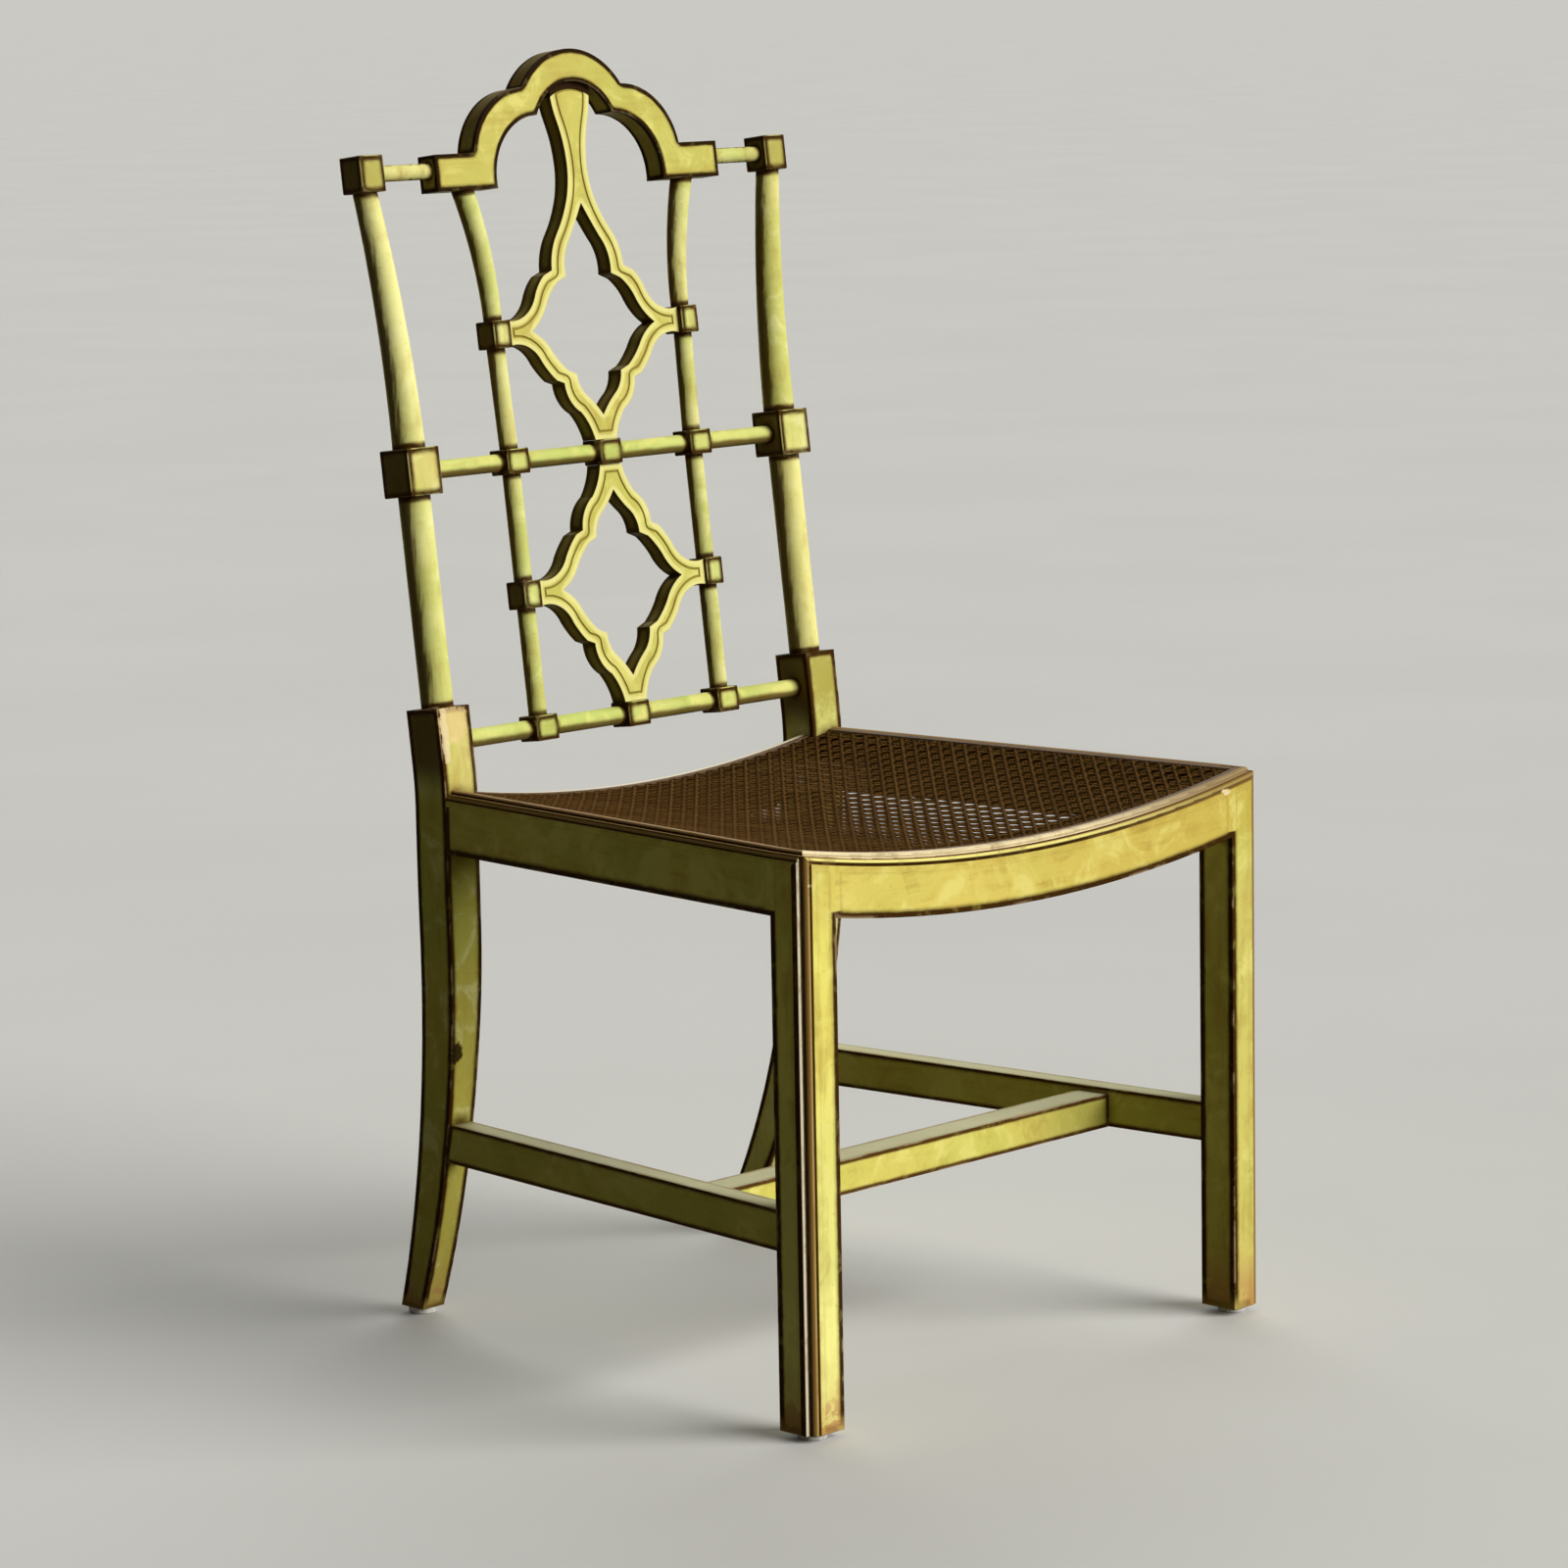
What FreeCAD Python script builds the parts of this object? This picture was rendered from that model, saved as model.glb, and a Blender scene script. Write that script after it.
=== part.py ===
import FreeCAD, Part
import math
import os

V = FreeCAD.Vector

# Pagoda side chair, millimetres. The chair faces -Y, +X is on the right seen from the front,
# +Z is up, and the origin lies on the floor under the middle of the chair.

# Whole chair
overall_depth = 535.0          # front of the front legs to the heels of the back feet
front_width = 528.0            # over the front legs
back_width = 456.0             # over the back stiles at the seat
seat_height = 450.0            # seat frame's top at its corners
back_set = 448.0               # front of the front legs to the middle of the stiles, at the seat
lean = 7.0                     # degrees that the back leans

# Fits
joint_fit = 0.15               # clearance round every tenon, pin and screw
tenon_end_gap = 1.0            # room left at the end of every mortise and bore

# Front legs
leg_size = 34.3

# Double bead on the legs' outer corners and along the top of the seat rails
mould_size = 9.4               # cut back along each face
small_bead = 3.8               # width of the bead next to the top or side
small_bead_rise = 1.3
large_bead = 6.2               # width of the bead next to the front
large_bead_rise = 1.9
quirk_width = 1.4
quirk_depth = 0.9

# Seat rails
rail_height = 52.0             # side rails
front_rail_height = 48.0
back_rail_height = 46.0
rail_thick = 27.0
front_rail_thick = 42.0        # broad, to carry the front of the cane
back_rail_thick = 22.0
front_dip = 25.0               # how far the seat sinks in the middle of its front
back_dip = 23.5                # and of its back
side_bed_slope = 0.26          # the side rails' bed falls inward a little faster than the cane
rail_tenon_thick = 9.0
rail_tenon_height = 24.0
rail_tenon_long = 13.0
tenon_root = 2.0               # how far a tenon's solid starts inside its rail

# Cane and its spline
cane_thick = 2.5
cane_bed_gap = 0.3             # the cane lies this far above its bed at most
rim = 2.5                      # flat between the beads and the spline's groove
groove_width = 4.5
groove_depth = 9.0
spline_fit = 0.1
stile_notch_gap = 0.6          # the cane panel clears the stiles by this much
cane_holes_across = 12         # the open weave as a plain grid of square openings
cane_holes_deep = 10
cane_hole_share = 0.55         # side of an opening against its pitch
cane_closed_edge = 4.0         # closed border round the grid

# Back stiles
stile_width = 34.5
stile_depth = 36.5
base_block_top = 62.0          # along the lean, above the seat
knee_ease = 14.0               # the bend at the seat begins and ends this far from its middle
sabre_start = 335.0            # height where the leg begins to sweep back
foot_inset = 29.5              # the foot's outer face stands this far inside the stile's
foot_width = 23.5
foot_depth = 26.0
outer_inset_start = 390.0      # height where the leg's outer face begins to draw in
inner_inset_start = 260.0      # and its inner face
lower_post_dia = 26.0
middle_block_width = 34.0
middle_block_depth = 34.0
middle_block_height = 38.0
upper_post_dia = 26.5          # at the middle block
upper_post_top_dia = 19.5
top_block_width = 25.0
top_block_height = 29.0
top_block_depth = 25.0
top_block_shift = 16.5         # top block's middle lies this far outside the stile's middle
block_bevel = 0.9
block_sink = 2.9               # how deep a round post reaches into its block
post_rings = 7                 # rings that shape a bowed post

# Heights along the lean, above the seat
lower_rail_at = 33.5
middle_rail_at = 250.5
upper_tip_at = 353.5           # side points of the upper fret
top_block_at = 488.0

# Cross rails and inner posts
lower_rail_dia = 15.0
middle_rail_dia = 14.5
cross_tenon_dia = 10.0
cross_tenon_long = 15.0
cross_block_width = 24.0
cross_block_depth = 22.0
cross_block_height = 20.5
inner_post_at = 104.0          # middle of the inner posts from the chair's middle
inner_post_dia = 15.0
inner_post_top_dia = 18.0
inner_post_flare = 19.5        # the inner posts' tops stand this much further out
upper_tip_shift = 2.2          # the upper posts' blocks stand this much further out
post_tenon_dia = 8.5
post_tenon_long = 7.0
post_block_width = 19.0
post_block_depth = 22.0
post_block_height = 22.5

# Crest rail
crest_thick = 20.5
crest_half = 158.5
crest_bottom = 470.8
shoulder_height = 29.5
shoulder_in = 93.5             # inner face of a shoulder
lobe_start = 115.5             # side lobe rises from the shoulder here
side_lobe = (96.0, 65.0)       # a point on the side lobe: across, above the crest's bottom
outer_cusp = (55.5, 80.5)
crest_peak = 110.5
inner_lobe = (81.5, 39.5)
inner_cusp = (42.5, 57.5)
arch_peak = 84.0
crest_rod_dia = 13.0
crest_rod_tenon_dia = 9.0
crest_rod_tenon_long = 9.0

# Frets: one arm of a diamond, across from the middle and up from its side point,
# drawn for an arm that reaches arm_reach, then fitted between its blocks
fret_thick = 15.5
upper_fret_back = 1.8          # the upper fret sits this far behind the middle of the posts
fret_tip_height = 21.0
fret_foot_width = 24.0
arm_reach = (94.5, 98.0)
arm_outer = [(16.0, 85.5), (24.0, 73.0), (35.0, 61.5), (39.0, 46.5)]
arm_outer_shoulder = (47.0, 43.5)
arm_outer_low = [(54.0, 36.0), (60.5, 27.0), (71.0, 14.5)]
arm_crotch = 77.0
arm_inner = [(8.0, 66.5), (14.5, 60.0), (22.0, 50.5), (24.5, 39.5)]
arm_inner_shoulder = (34.0, 35.5)
arm_inner_low = [(41.5, 28.0), (48.0, 19.5), (56.5, 8.0)]
arm_side_crotch = 68.0
crown_outer_low = [(74.0, 13.2), (61.5, 26.7), (56.0, 36.8)]
crown_outer_shoulder = (48.8, 44.4)
crown_outer = [(39.6, 48.0), (37.4, 62.0), (30.0, 77.0), (20.4, 92.5), (14.2, 107.5)]
crown_stem = [(11.2, 123.0), (11.0, 138.0), (13.0, 153.5), (16.9, 168.0), (20.3, 181.0)]
crown_crotch = 101.0
crown_inner = [(8.5, 86.0), (16.5, 73.0), (23.5, 60.0), (25.0, 42.5)]
crown_inner_shoulder = (34.5, 38.5)
crown_inner_low = [(43.5, 30.0), (50.0, 19.5), (57.5, 9.0)]
crown_reach = 194.0            # crown drawn to this height at the fan's corners
fan_half = 22.0
scribe_inset = 5.6             # scribed line on the frets' fronts, in from the outer edge
scribe_width = 1.8
scribe_depth = 0.6
fret_pin_dia = 6.0
fret_pin_long = 5.0
fret_seat_gap = 0.1            # between a fret's ends and the blocks that hold it

# Stretchers
stretcher_thick = 20.0
stretcher_height = 32.0
stretcher_bottom = 140.5
cross_stretcher_set = 130.0    # front of the front legs to the cross stretcher's front
cross_stretcher_thick = 30.0
cross_stretcher_height = 27.5
stretcher_tenon_thick = 8.0
stretcher_tenon_height = 20.0
stretcher_tenon_long = 11.0
cross_stretcher_tenon_long = 8.0

# Corner blocks and their screws
corner_block_reach = 52.0      # along each rail, from the inner corner of the frame
corner_block_height = 24.0
corner_block_drop = 26.0       # top of the block below the seat's corners
corner_block_gap = 0.2
screw_dia = 4.0
screw_head_dia = 8.0
screw_head_long = 3.0
screw_in_rail = 14.0
screw_from_end = 13.0
screw_cover = 12.0             # wood of the block under a screw's head

# Glides
glide_dia = 23.0
glide_high = 5.5
glide_bevel = 0.8
glide_pin_dia = 4.0
glide_pin_long = 12.0

front = -overall_depth / 2
back_at = front + back_set
slope = math.radians(lean)
lean_frame = FreeCAD.Placement(V(0, back_at, seat_height), FreeCAD.Rotation(V(1, 0, 0), -lean))
stile_middle = back_width / 2 - stile_width / 2
beyond = 80.0                  # how far cutting solids run past what they cut
mouth = 1.0                    # how far a bore's cutter stands out of its mouth


def box(x0, x1, y0, y1, z0, z1):
    low = V(min(x0, x1), min(y0, y1), min(z0, z1))
    return Part.makeBox(abs(x1 - x0), abs(y1 - y0), abs(z1 - z0), low)


def beveled_box(middle, width, depth, height):
    x, y, z = middle
    block = box(x - width / 2, x + width / 2, y - depth / 2, y + depth / 2, z - height / 2, z + height / 2)
    return block.makeChamfer(block_bevel, block.Edges)


def round_bar(start, end, diameter, end_diameter=None):
    axis = end - start
    if end_diameter is None or abs(end_diameter - diameter) < 1e-6:
        return Part.makeCylinder(diameter / 2, axis.Length, start, axis)
    return Part.makeCone(diameter / 2, end_diameter / 2, axis.Length, start, axis)


def prism(points, along):
    return Part.Face(Part.makePolygon(list(points) + [points[0]])).extrude(along)


def arc(start, through, end):
    return Part.Arc(start, through, end).toShape()


def line(start, end):
    return Part.LineSegment(start, end).toShape()


def tangent_arc(start, direction, end):
    # The arc that leaves start along direction and ends at end
    chord = end - start
    unit = V(direction).normalize()
    side = chord - unit * chord.dot(unit)
    side.normalize()
    radius = chord.dot(chord) / (2 * chord.dot(side))
    centre = start + side * radius
    bisector = (start + end) * 0.5 - centre
    bisector.normalize()
    return arc(start, centre + bisector * radius, end)


def leaned(shape):
    # From the flat drawing of the back (Z along the lean) to its leaning place
    moved = shape.copy()
    moved.Placement = lean_frame.multiply(moved.Placement)
    return moved


def mirrored(shape):
    return shape.mirror(V(0, 0, 0), V(1, 0, 0))


def joined(shapes):
    whole = shapes[0].fuse(shapes[1:]) if len(shapes) > 1 else shapes[0]
    return whole.removeSplitter()


def cut_each(shape, cutters):
    for cutter in cutters:
        shape = shape.cut(cutter)
    return shape


def lean_point(up, back):
    y = back_at + up * math.sin(slope) + back * math.cos(slope)
    z = seat_height + up * math.cos(slope) - back * math.sin(slope)
    return V(0, y, z)


stile_front_y = lean_point(0, -stile_depth / 2).y
leg_back_y = front + leg_size


def side_line_x(y):
    # Outer face of the left and right seat rails: distance from the chair's middle at a depth y
    share = (y - leg_back_y) / (stile_front_y - leg_back_y)
    return front_width / 2 + (back_width / 2 - front_width / 2) * share


toe = math.atan2((front_width - back_width) / 2, stile_front_y - leg_back_y)
front_sag = (front_dip, ((front_width / 2) ** 2 + front_dip ** 2) / (2 * front_dip))
back_sag = (back_dip, ((back_width / 2) ** 2 + back_dip ** 2) / (2 * back_dip))
edge_slope = 4 * front_dip / front_width
back_rail_front = stile_front_y
back_rail_back = back_rail_front + back_rail_thick
bed_inset = mould_size + rim + groove_width
bed_depth = cane_thick + cane_bed_gap


def edge_drop(dip, half):
    # How far the cane's side edge lies below the seat's corners
    return dip * (1 - ((half - bed_inset) / half) ** 2)


edge_drops = (edge_drop(front_dip, front_width / 2), edge_drop(back_dip, back_width / 2))
side_bed_top = seat_height - bed_depth - max(edge_drops)


def bead_cutter_face(corner, u, w):
    # Section of what is cut from a square edge to leave the two beads. u and w run from the edge
    # along its two faces: u on the top or side, w on the front.
    start = corner + u * mould_size
    end = corner + w * mould_size
    along = (end - start).normalize()
    inward = (u + w).normalize()
    length = mould_size * math.sqrt(2)
    fitted = (end - start).Length / length

    def at(p, depth):
        return start + (along * p + inward * depth) * fitted

    second = small_bead + quirk_width
    third = second + large_bead
    edges = [
        arc(at(0, 0), at(small_bead / 2, -small_bead_rise), at(small_bead, 0)),
        line(at(small_bead, 0), at(small_bead, quirk_depth)),
        line(at(small_bead, quirk_depth), at(second, quirk_depth)),
        arc(at(second, quirk_depth), at((second + third) / 2, -large_bead_rise), at(third, quirk_depth)),
        line(at(third, quirk_depth), at(length - quirk_depth, quirk_depth)),
        line(at(length - quirk_depth, quirk_depth), end),
    ]
    outside = [end, end - u * beyond, corner - u * beyond - w * beyond, start - w * beyond, start]
    edges += [line(a, b) for a, b in zip(outside, outside[1:])]
    return Part.Face(Part.Wire(edges))


def along_dip(face, sag):
    # Carry a section drawn at the chair's middle along the sag of a front or back rail
    dip, radius = sag
    turn = math.degrees(math.asin((front_width / 2 + leg_size) / radius))
    centre = V(0, 0, seat_height - dip + radius)
    start = face.copy()
    start.rotate(centre, V(0, 1, 0), -turn)
    return start.revolve(centre, V(0, 1, 0), 2 * turn)


def middle_section(points):
    return Part.Face(Part.makePolygon([V(0, y, z) for y, z in points] + [V(0, *points[0])]))


def bed_plan():
    # Room for the cane and the splines, seen from above, bounded by the grooves' outer walls
    inset = mould_size + rim
    front_y = front + inset
    back_y = back_rail_back - inset
    wall = inset / math.cos(toe)
    outline = [(front_y, side_line_x(front_y) - wall), (back_y, side_line_x(back_y) - wall)]
    corners = [V(-x, y, 0) for y, x in outline] + [V(x, y, 0) for y, x in reversed(outline)]
    return prism(corners, V(0, 0, seat_height + beyond))


def dip_bed(outer_y, inward, sag):
    # Groove and bed of a sagging rail, from its outer face inward
    top = seat_height - sag[0]
    groove = outer_y + inward * (mould_size + rim)
    ledge = groove + inward * groove_width
    far = outer_y + inward * (front_rail_thick + beyond)
    return along_dip(middle_section([
        (groove, top - groove_depth), (ledge, top - groove_depth), (ledge, top - bed_depth),
        (far, top - bed_depth), (far, top + beyond), (groove, top + beyond),
    ]), sag)


def side_frame(side):
    # Y runs back along the side rail's outer face, X points inward, Z is up
    turned = FreeCAD.Rotation(V(0, 0, 1), side * math.degrees(toe))
    return FreeCAD.Placement(V(side * front_width / 2, leg_back_y, 0), turned)


def along_side(side, section, start, length):
    # Carry a section (inward, height) along a side rail
    face = Part.Face(Part.makePolygon([V(-side * a, start, z) for a, z in section + section[:1]]))
    bar = face.extrude(V(0, length, 0))
    bar.Placement = side_frame(side).multiply(bar.Placement)
    return bar


side_length = (stile_front_y - leg_back_y) / math.cos(toe)


def side_bed(side):
    # Groove and sloping bed of a side rail
    groove = mould_size + rim
    ledge = groove + groove_width
    far = rail_thick + beyond / 2
    floor = seat_height - groove_depth
    top = seat_height + beyond
    section = [
        (groove, floor), (ledge, floor), (ledge, side_bed_top),
        (far, side_bed_top - (far - ledge) * side_bed_slope), (far, top), (groove, top),
    ]
    return along_side(side, section, -leg_size - beyond, side_length + leg_size + 2 * beyond)


plan = bed_plan()
front_bed = dip_bed(front, 1, front_sag).common(plan)
back_bed = dip_bed(back_rail_back, -1, back_sag).common(plan)
front_top_corner = V(0, front, seat_height - front_dip)
front_beads = along_dip(bead_cutter_face(front_top_corner, V(0, 1, 0), V(0, 0, -1)), front_sag)
back_top_corner = V(0, back_rail_back, seat_height - back_dip)
back_beads = along_dip(bead_cutter_face(back_top_corner, V(0, -1, 0), V(0, 0, -1)), back_sag)


def inward_slope(side):
    # Unit direction from a side rail's top edge inward, down the seat's slope
    return V(-side, 0, -edge_slope).normalize()


def rail_tenon(side, grow=0.0, reach=0.0):
    # One bar through a side rail that makes both of its tenons, or with grow their mortises
    middle = rail_thick / 2
    half = rail_tenon_thick / 2 + grow
    low = seat_height - rail_height + (rail_height - rail_tenon_height) / 2 - mould_size / 2
    section = [
        (middle - half, low - grow), (middle + half, low - grow),
        (middle + half, low + rail_tenon_height + grow), (middle - half, low + rail_tenon_height + grow),
    ]
    start = -rail_tenon_long - reach
    return along_side(side, section, start, side_length + 2 * (rail_tenon_long + reach))


def cross_tenons(half_length, y_middle, z_middle, grow=0.0, reach=0.0):
    # The two tenons of the front or back rail, or with grow their mortises
    root = half_length - tenon_root
    end = half_length + rail_tenon_long + reach
    half = rail_tenon_thick / 2 + grow
    low, high = z_middle - rail_tenon_height / 2 - grow, z_middle + rail_tenon_height / 2 + grow
    return [box(s * root, s * end, y_middle - half, y_middle + half, low, high) for s in (-1, 1)]


def rail_ends_z(sag, half_length, height):
    # Middle height of a sagging rail's plain face at its ends
    dip, radius = sag
    rise = radius - math.sqrt(radius ** 2 - half_length ** 2)
    return seat_height - dip + rise - mould_size / 2 - height / 2


front_rail_half = front_width / 2 - leg_size
back_rail_half = back_width / 2 - stile_width
front_tenon_z = rail_ends_z(front_sag, front_rail_half, front_rail_height - mould_size)
back_tenon_z = rail_ends_z(back_sag, back_rail_half, back_rail_height - mould_size)
front_tenon_y = front + leg_size / 2
back_tenon_y = back_rail_front + back_rail_thick / 2


def stretcher_line(side):
    # Middle line of a side stretcher, from the middle of the front leg to the middle of the back leg
    height = stretcher_bottom + stretcher_height / 2

    def drawn_in(start, total):
        return total * ((start - height) / (start - glide_high)) ** 2

    inner_inset = foot_inset + foot_width - stile_width
    outer_x = back_width / 2 - drawn_in(outer_inset_start, foot_inset)
    inner_x = back_width / 2 - stile_width - drawn_in(inner_inset_start, inner_inset)
    back_x = (outer_x + inner_x) / 2

    def swept(knee_y, foot_y):
        # Where an edge of the sabre leg stands, as seen from the side
        out, drop = foot_y - knee_y, sabre_start - glide_high
        radius = (out ** 2 + drop ** 2) / (2 * out)
        return knee_y + radius - math.sqrt(radius ** 2 - (sabre_start - height) ** 2)

    front_edge = swept(stile_front_y, -front - foot_depth)
    back_edge = swept(lean_point(0, stile_depth / 2).y, -front)
    start = V(side * (front_width / 2 - leg_size / 2), front + leg_size / 2, stretcher_bottom)
    end = V(side * back_x, (front_edge + back_edge) / 2, stretcher_bottom)
    return start, end


def stretcher_bar(side, thick, height, start_trim, end_trim):
    # Upright bar along a side stretcher's line
    start, end = stretcher_line(side)
    unit = (end - start).normalize()
    across = V(unit.y, -unit.x, 0) * (thick / 2)
    raise_by = V(0, 0, (stretcher_height - height) / 2)
    a = start + unit * start_trim + raise_by
    b = end - unit * end_trim + raise_by
    return prism([a - across, a + across, b + across, b - across], V(0, 0, height))


def glide_bore(x, y):
    top = glide_high + glide_pin_long + tenon_end_gap
    return round_bar(V(x, y, 0), V(x, y, top), glide_pin_dia + 2 * joint_fit)


def foot_middle(side, back):
    if back:
        x = back_width / 2 - foot_inset - foot_width / 2
        return side * x, -front - foot_depth / 2
    return side * (front_width / 2 - leg_size / 2), front + leg_size / 2


def front_leg(side):
    outer = side * front_width / 2
    inner = side * (front_width / 2 - leg_size)
    leg = box(outer, inner, front, leg_back_y, glide_high, seat_height)
    low, high = seat_height - front_dip, seat_height + beyond
    near, far = front - beyond, front + beyond
    above = along_dip(middle_section([(near, low), (far, low), (far, high), (near, high)]), front_sag)
    corner = V(outer, front, 0)
    inward = V(-side, 0, 0)
    upright = bead_cutter_face(corner, V(0, 1, 0), inward).extrude(V(0, 0, seat_height + beyond))
    side_top = bead_cutter_face(V(outer, near, seat_height), inward_slope(side), V(0, 0, -1))
    side_beads = side_top.extrude(V(0, 2 * beyond, 0))
    cuts = [above, side_beads, front_beads, upright, front_bed, side_bed(side).common(plan)]
    mortises = cross_tenons(front_rail_half, front_tenon_y, front_tenon_z, joint_fit, tenon_end_gap)
    mortises += [
        rail_tenon(side, joint_fit, tenon_end_gap),
        stretcher_mortise(side),
        glide_bore(*foot_middle(side, False)),
    ]
    return cut_each(leg, cuts + mortises)


def stretcher_mortise(side):
    start_trim = leg_size / 2 - stretcher_tenon_long - tenon_end_gap
    end_trim = stile_depth / 2 - stretcher_tenon_long - tenon_end_gap
    thick = stretcher_tenon_thick + 2 * joint_fit
    return stretcher_bar(side, thick, stretcher_tenon_height + 2 * joint_fit, start_trim, end_trim)


def back_leg_blank(side):
    # Sawn twice, as seen from the side and as seen from the front
    down = V(0, 0, -1)
    down_the_lean = lean_point(-1, 0) - lean_point(0, 0)

    def edge(back, foot):
        top, bend, knee = [lean_point(up, back) for up in (base_block_top, knee_ease, 0)]
        plumb = knee + down * knee_ease
        sweep = V(0, knee.y, sabre_start)
        return top, [
            line(top, bend), tangent_arc(bend, down_the_lean, plumb),
            line(plumb, sweep), tangent_arc(sweep, down, foot),
        ]

    heel = V(0, -front, glide_high)
    ball = V(0, -front - foot_depth, glide_high)
    top_front, front_edge = edge(-stile_depth / 2, ball)
    top_back, back_edge = edge(stile_depth / 2, heel)
    sides = front_edge + back_edge + [line(top_back, top_front), line(ball, heel)]
    side_view = Part.Face(Part.Wire(Part.__sortEdges__(sides)))
    outer = back_width / 2
    inner = outer - stile_width
    top_z = seat_height + base_block_top + stile_depth
    foot_outer = V(outer - foot_inset, 0, glide_high)
    foot_inner = V(outer - foot_inset - foot_width, 0, glide_high)
    bend_outer, bend_inner = V(outer, 0, outer_inset_start), V(inner, 0, inner_inset_start)
    top_outer, top_inner = V(outer, 0, top_z), V(inner, 0, top_z)
    front_view = Part.Face(Part.Wire([
        line(top_inner, top_outer), line(top_outer, bend_outer),
        tangent_arc(bend_outer, down, foot_outer), line(foot_outer, foot_inner),
        tangent_arc(bend_inner, down, foot_inner), line(bend_inner, top_inner),
    ]))
    front_view.translate(V(0, -overall_depth, 0))
    leg = side_view.extrude(V(overall_depth, 0, 0)).common(front_view.extrude(V(0, 2 * overall_depth, 0)))
    return leg if side > 0 else mirrored(leg)


def bowed_post(foot, head, foot_dia, head_dia):
    # Round post that leaves its foot straight up and bows outward to its head, sunk in at both ends
    rise, out = head.z - foot.z, head.x - foot.x
    rings = []
    for step in range(post_rings + 1):
        share = step / post_rings
        centre = V(foot.x + out * share ** 2, foot.y, foot.z + rise * share)
        tangent = V(2 * out * share, 0, rise)
        radius = (foot_dia + (head_dia - foot_dia) * share) / 2
        rings.append(Part.Wire(Part.Circle(centre, tangent, radius).toShape()))
    post = Part.makeLoft(rings, True)
    sunk_foot = round_bar(foot - V(0, 0, block_sink), foot, foot_dia)
    end = V(2 * out, 0, rise).normalize()
    sunk_head = round_bar(head, head + end * block_sink, head_dia)
    return [post, sunk_foot, sunk_head]


def back_stile(side):
    x = side * stile_middle
    top_x = side * (stile_middle + top_block_shift)
    middle_low = middle_rail_at - middle_block_height / 2
    middle_high = middle_rail_at + middle_block_height / 2
    top_low = top_block_at - top_block_height / 2
    upright = [
        round_bar(V(x, 0, base_block_top - block_sink), V(x, 0, middle_low + block_sink), lower_post_dia),
        beveled_box((x, 0, middle_rail_at), middle_block_width, middle_block_depth, middle_block_height),
        beveled_box((top_x, 0, top_block_at), top_block_width, top_block_depth, top_block_height),
    ]
    upright += bowed_post(V(x, 0, middle_high), V(top_x, 0, top_low), upper_post_dia, upper_post_top_dia)
    stile = joined([back_leg_blank(side)] + [leaned(piece) for piece in upright])
    bores = [
        cross_bore(lower_rail_at, side, lower_rail_end, cross_tenon_dia, cross_tenon_long),
        cross_bore(middle_rail_at, side, middle_rail_end, cross_tenon_dia, cross_tenon_long),
        cross_bore(top_block_at, side, crest_rod_end, crest_rod_tenon_dia, crest_rod_tenon_long),
    ]
    mortises = cross_tenons(back_rail_half, back_tenon_y, back_tenon_z, joint_fit, tenon_end_gap)
    mortises += [
        rail_tenon(side, joint_fit, tenon_end_gap),
        stretcher_mortise(side),
        glide_bore(*foot_middle(side, True)),
    ]
    return stile.cut([leaned(bore) for bore in bores] + mortises)


lower_rail_end = back_width / 2 - stile_width
middle_rail_end = stile_middle - middle_block_width / 2
crest_rod_end = stile_middle + top_block_shift - top_block_width / 2


def cross_bore(height, side, face, diameter, long):
    # Bore in a block's inner face at the given height of the back
    start = V(side * (face - mouth), 0, height)
    end = V(side * (face + long + tenon_end_gap), 0, height)
    return round_bar(start, end, diameter + 2 * joint_fit)


def front_seat_rail():
    top = seat_height - front_dip
    low = top - front_rail_height
    inner = front + front_rail_thick
    rail = along_dip(middle_section([(front, low), (inner, low), (inner, top), (front, top)]), front_sag)
    gap = box(-front_rail_half, front_rail_half, front - beyond, -front, 0, 2 * seat_height)
    rail = cut_each(rail.common(gap), [front_beads, front_bed])
    return joined([rail] + cross_tenons(front_rail_half, front_tenon_y, front_tenon_z))


def back_seat_rail():
    top = seat_height - back_dip
    low = top - back_rail_height
    section = [(back_rail_front, low), (back_rail_back, low), (back_rail_back, top), (back_rail_front, top)]
    rail = along_dip(middle_section(section), back_sag)
    gap = box(-back_rail_half, back_rail_half, front, -front + beyond, 0, 2 * seat_height)
    rail = cut_each(rail.common(gap), [back_beads, back_bed])
    return joined([rail] + cross_tenons(back_rail_half, back_tenon_y, back_tenon_z))


def side_seat_rail(side):
    low = seat_height - rail_height
    inner_top = seat_height - rail_thick * edge_slope
    section = [(0, low), (rail_thick, low), (rail_thick, inner_top), (0, seat_height)]
    rail = along_side(side, section, -leg_size, side_length + leg_size + stile_depth / 2)
    beads = bead_cutter_face(V(0, -beyond, seat_height), inward_slope(side), V(0, 0, -1))
    beads = beads.extrude(V(0, side_length + 3 * beyond, 0))
    beads.Placement = side_frame(side).multiply(beads.Placement)
    leg_room = box(-front_width, front_width, front - beyond, leg_back_y, 0, 2 * seat_height)
    rail = cut_each(rail, [leg_room, back_leg_blank(side), beads, side_bed(side).common(plan)])
    return rail.fuse(rail_tenon(side)).removeSplitter()


def side_stretcher(side):
    # The bar runs into both legs, and their faces trim its shoulders
    into_leg = leg_size / 4
    into_stile = stile_depth / 4
    body = stretcher_bar(side, stretcher_thick, stretcher_height, into_leg, into_stile)
    leg_room = box(-front_width, front_width, front - beyond, leg_back_y, 0, seat_height)
    body = body.cut([leg_room, back_leg_blank(side)])
    start_trim = leg_size / 2 - stretcher_tenon_long
    end_trim = stile_depth / 2 - stretcher_tenon_long
    tenons = stretcher_bar(side, stretcher_tenon_thick, stretcher_tenon_height, start_trim, end_trim)
    return body.fuse(tenons).removeSplitter().cut(cross_stretcher_tenon(joint_fit, tenon_end_gap))


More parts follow.
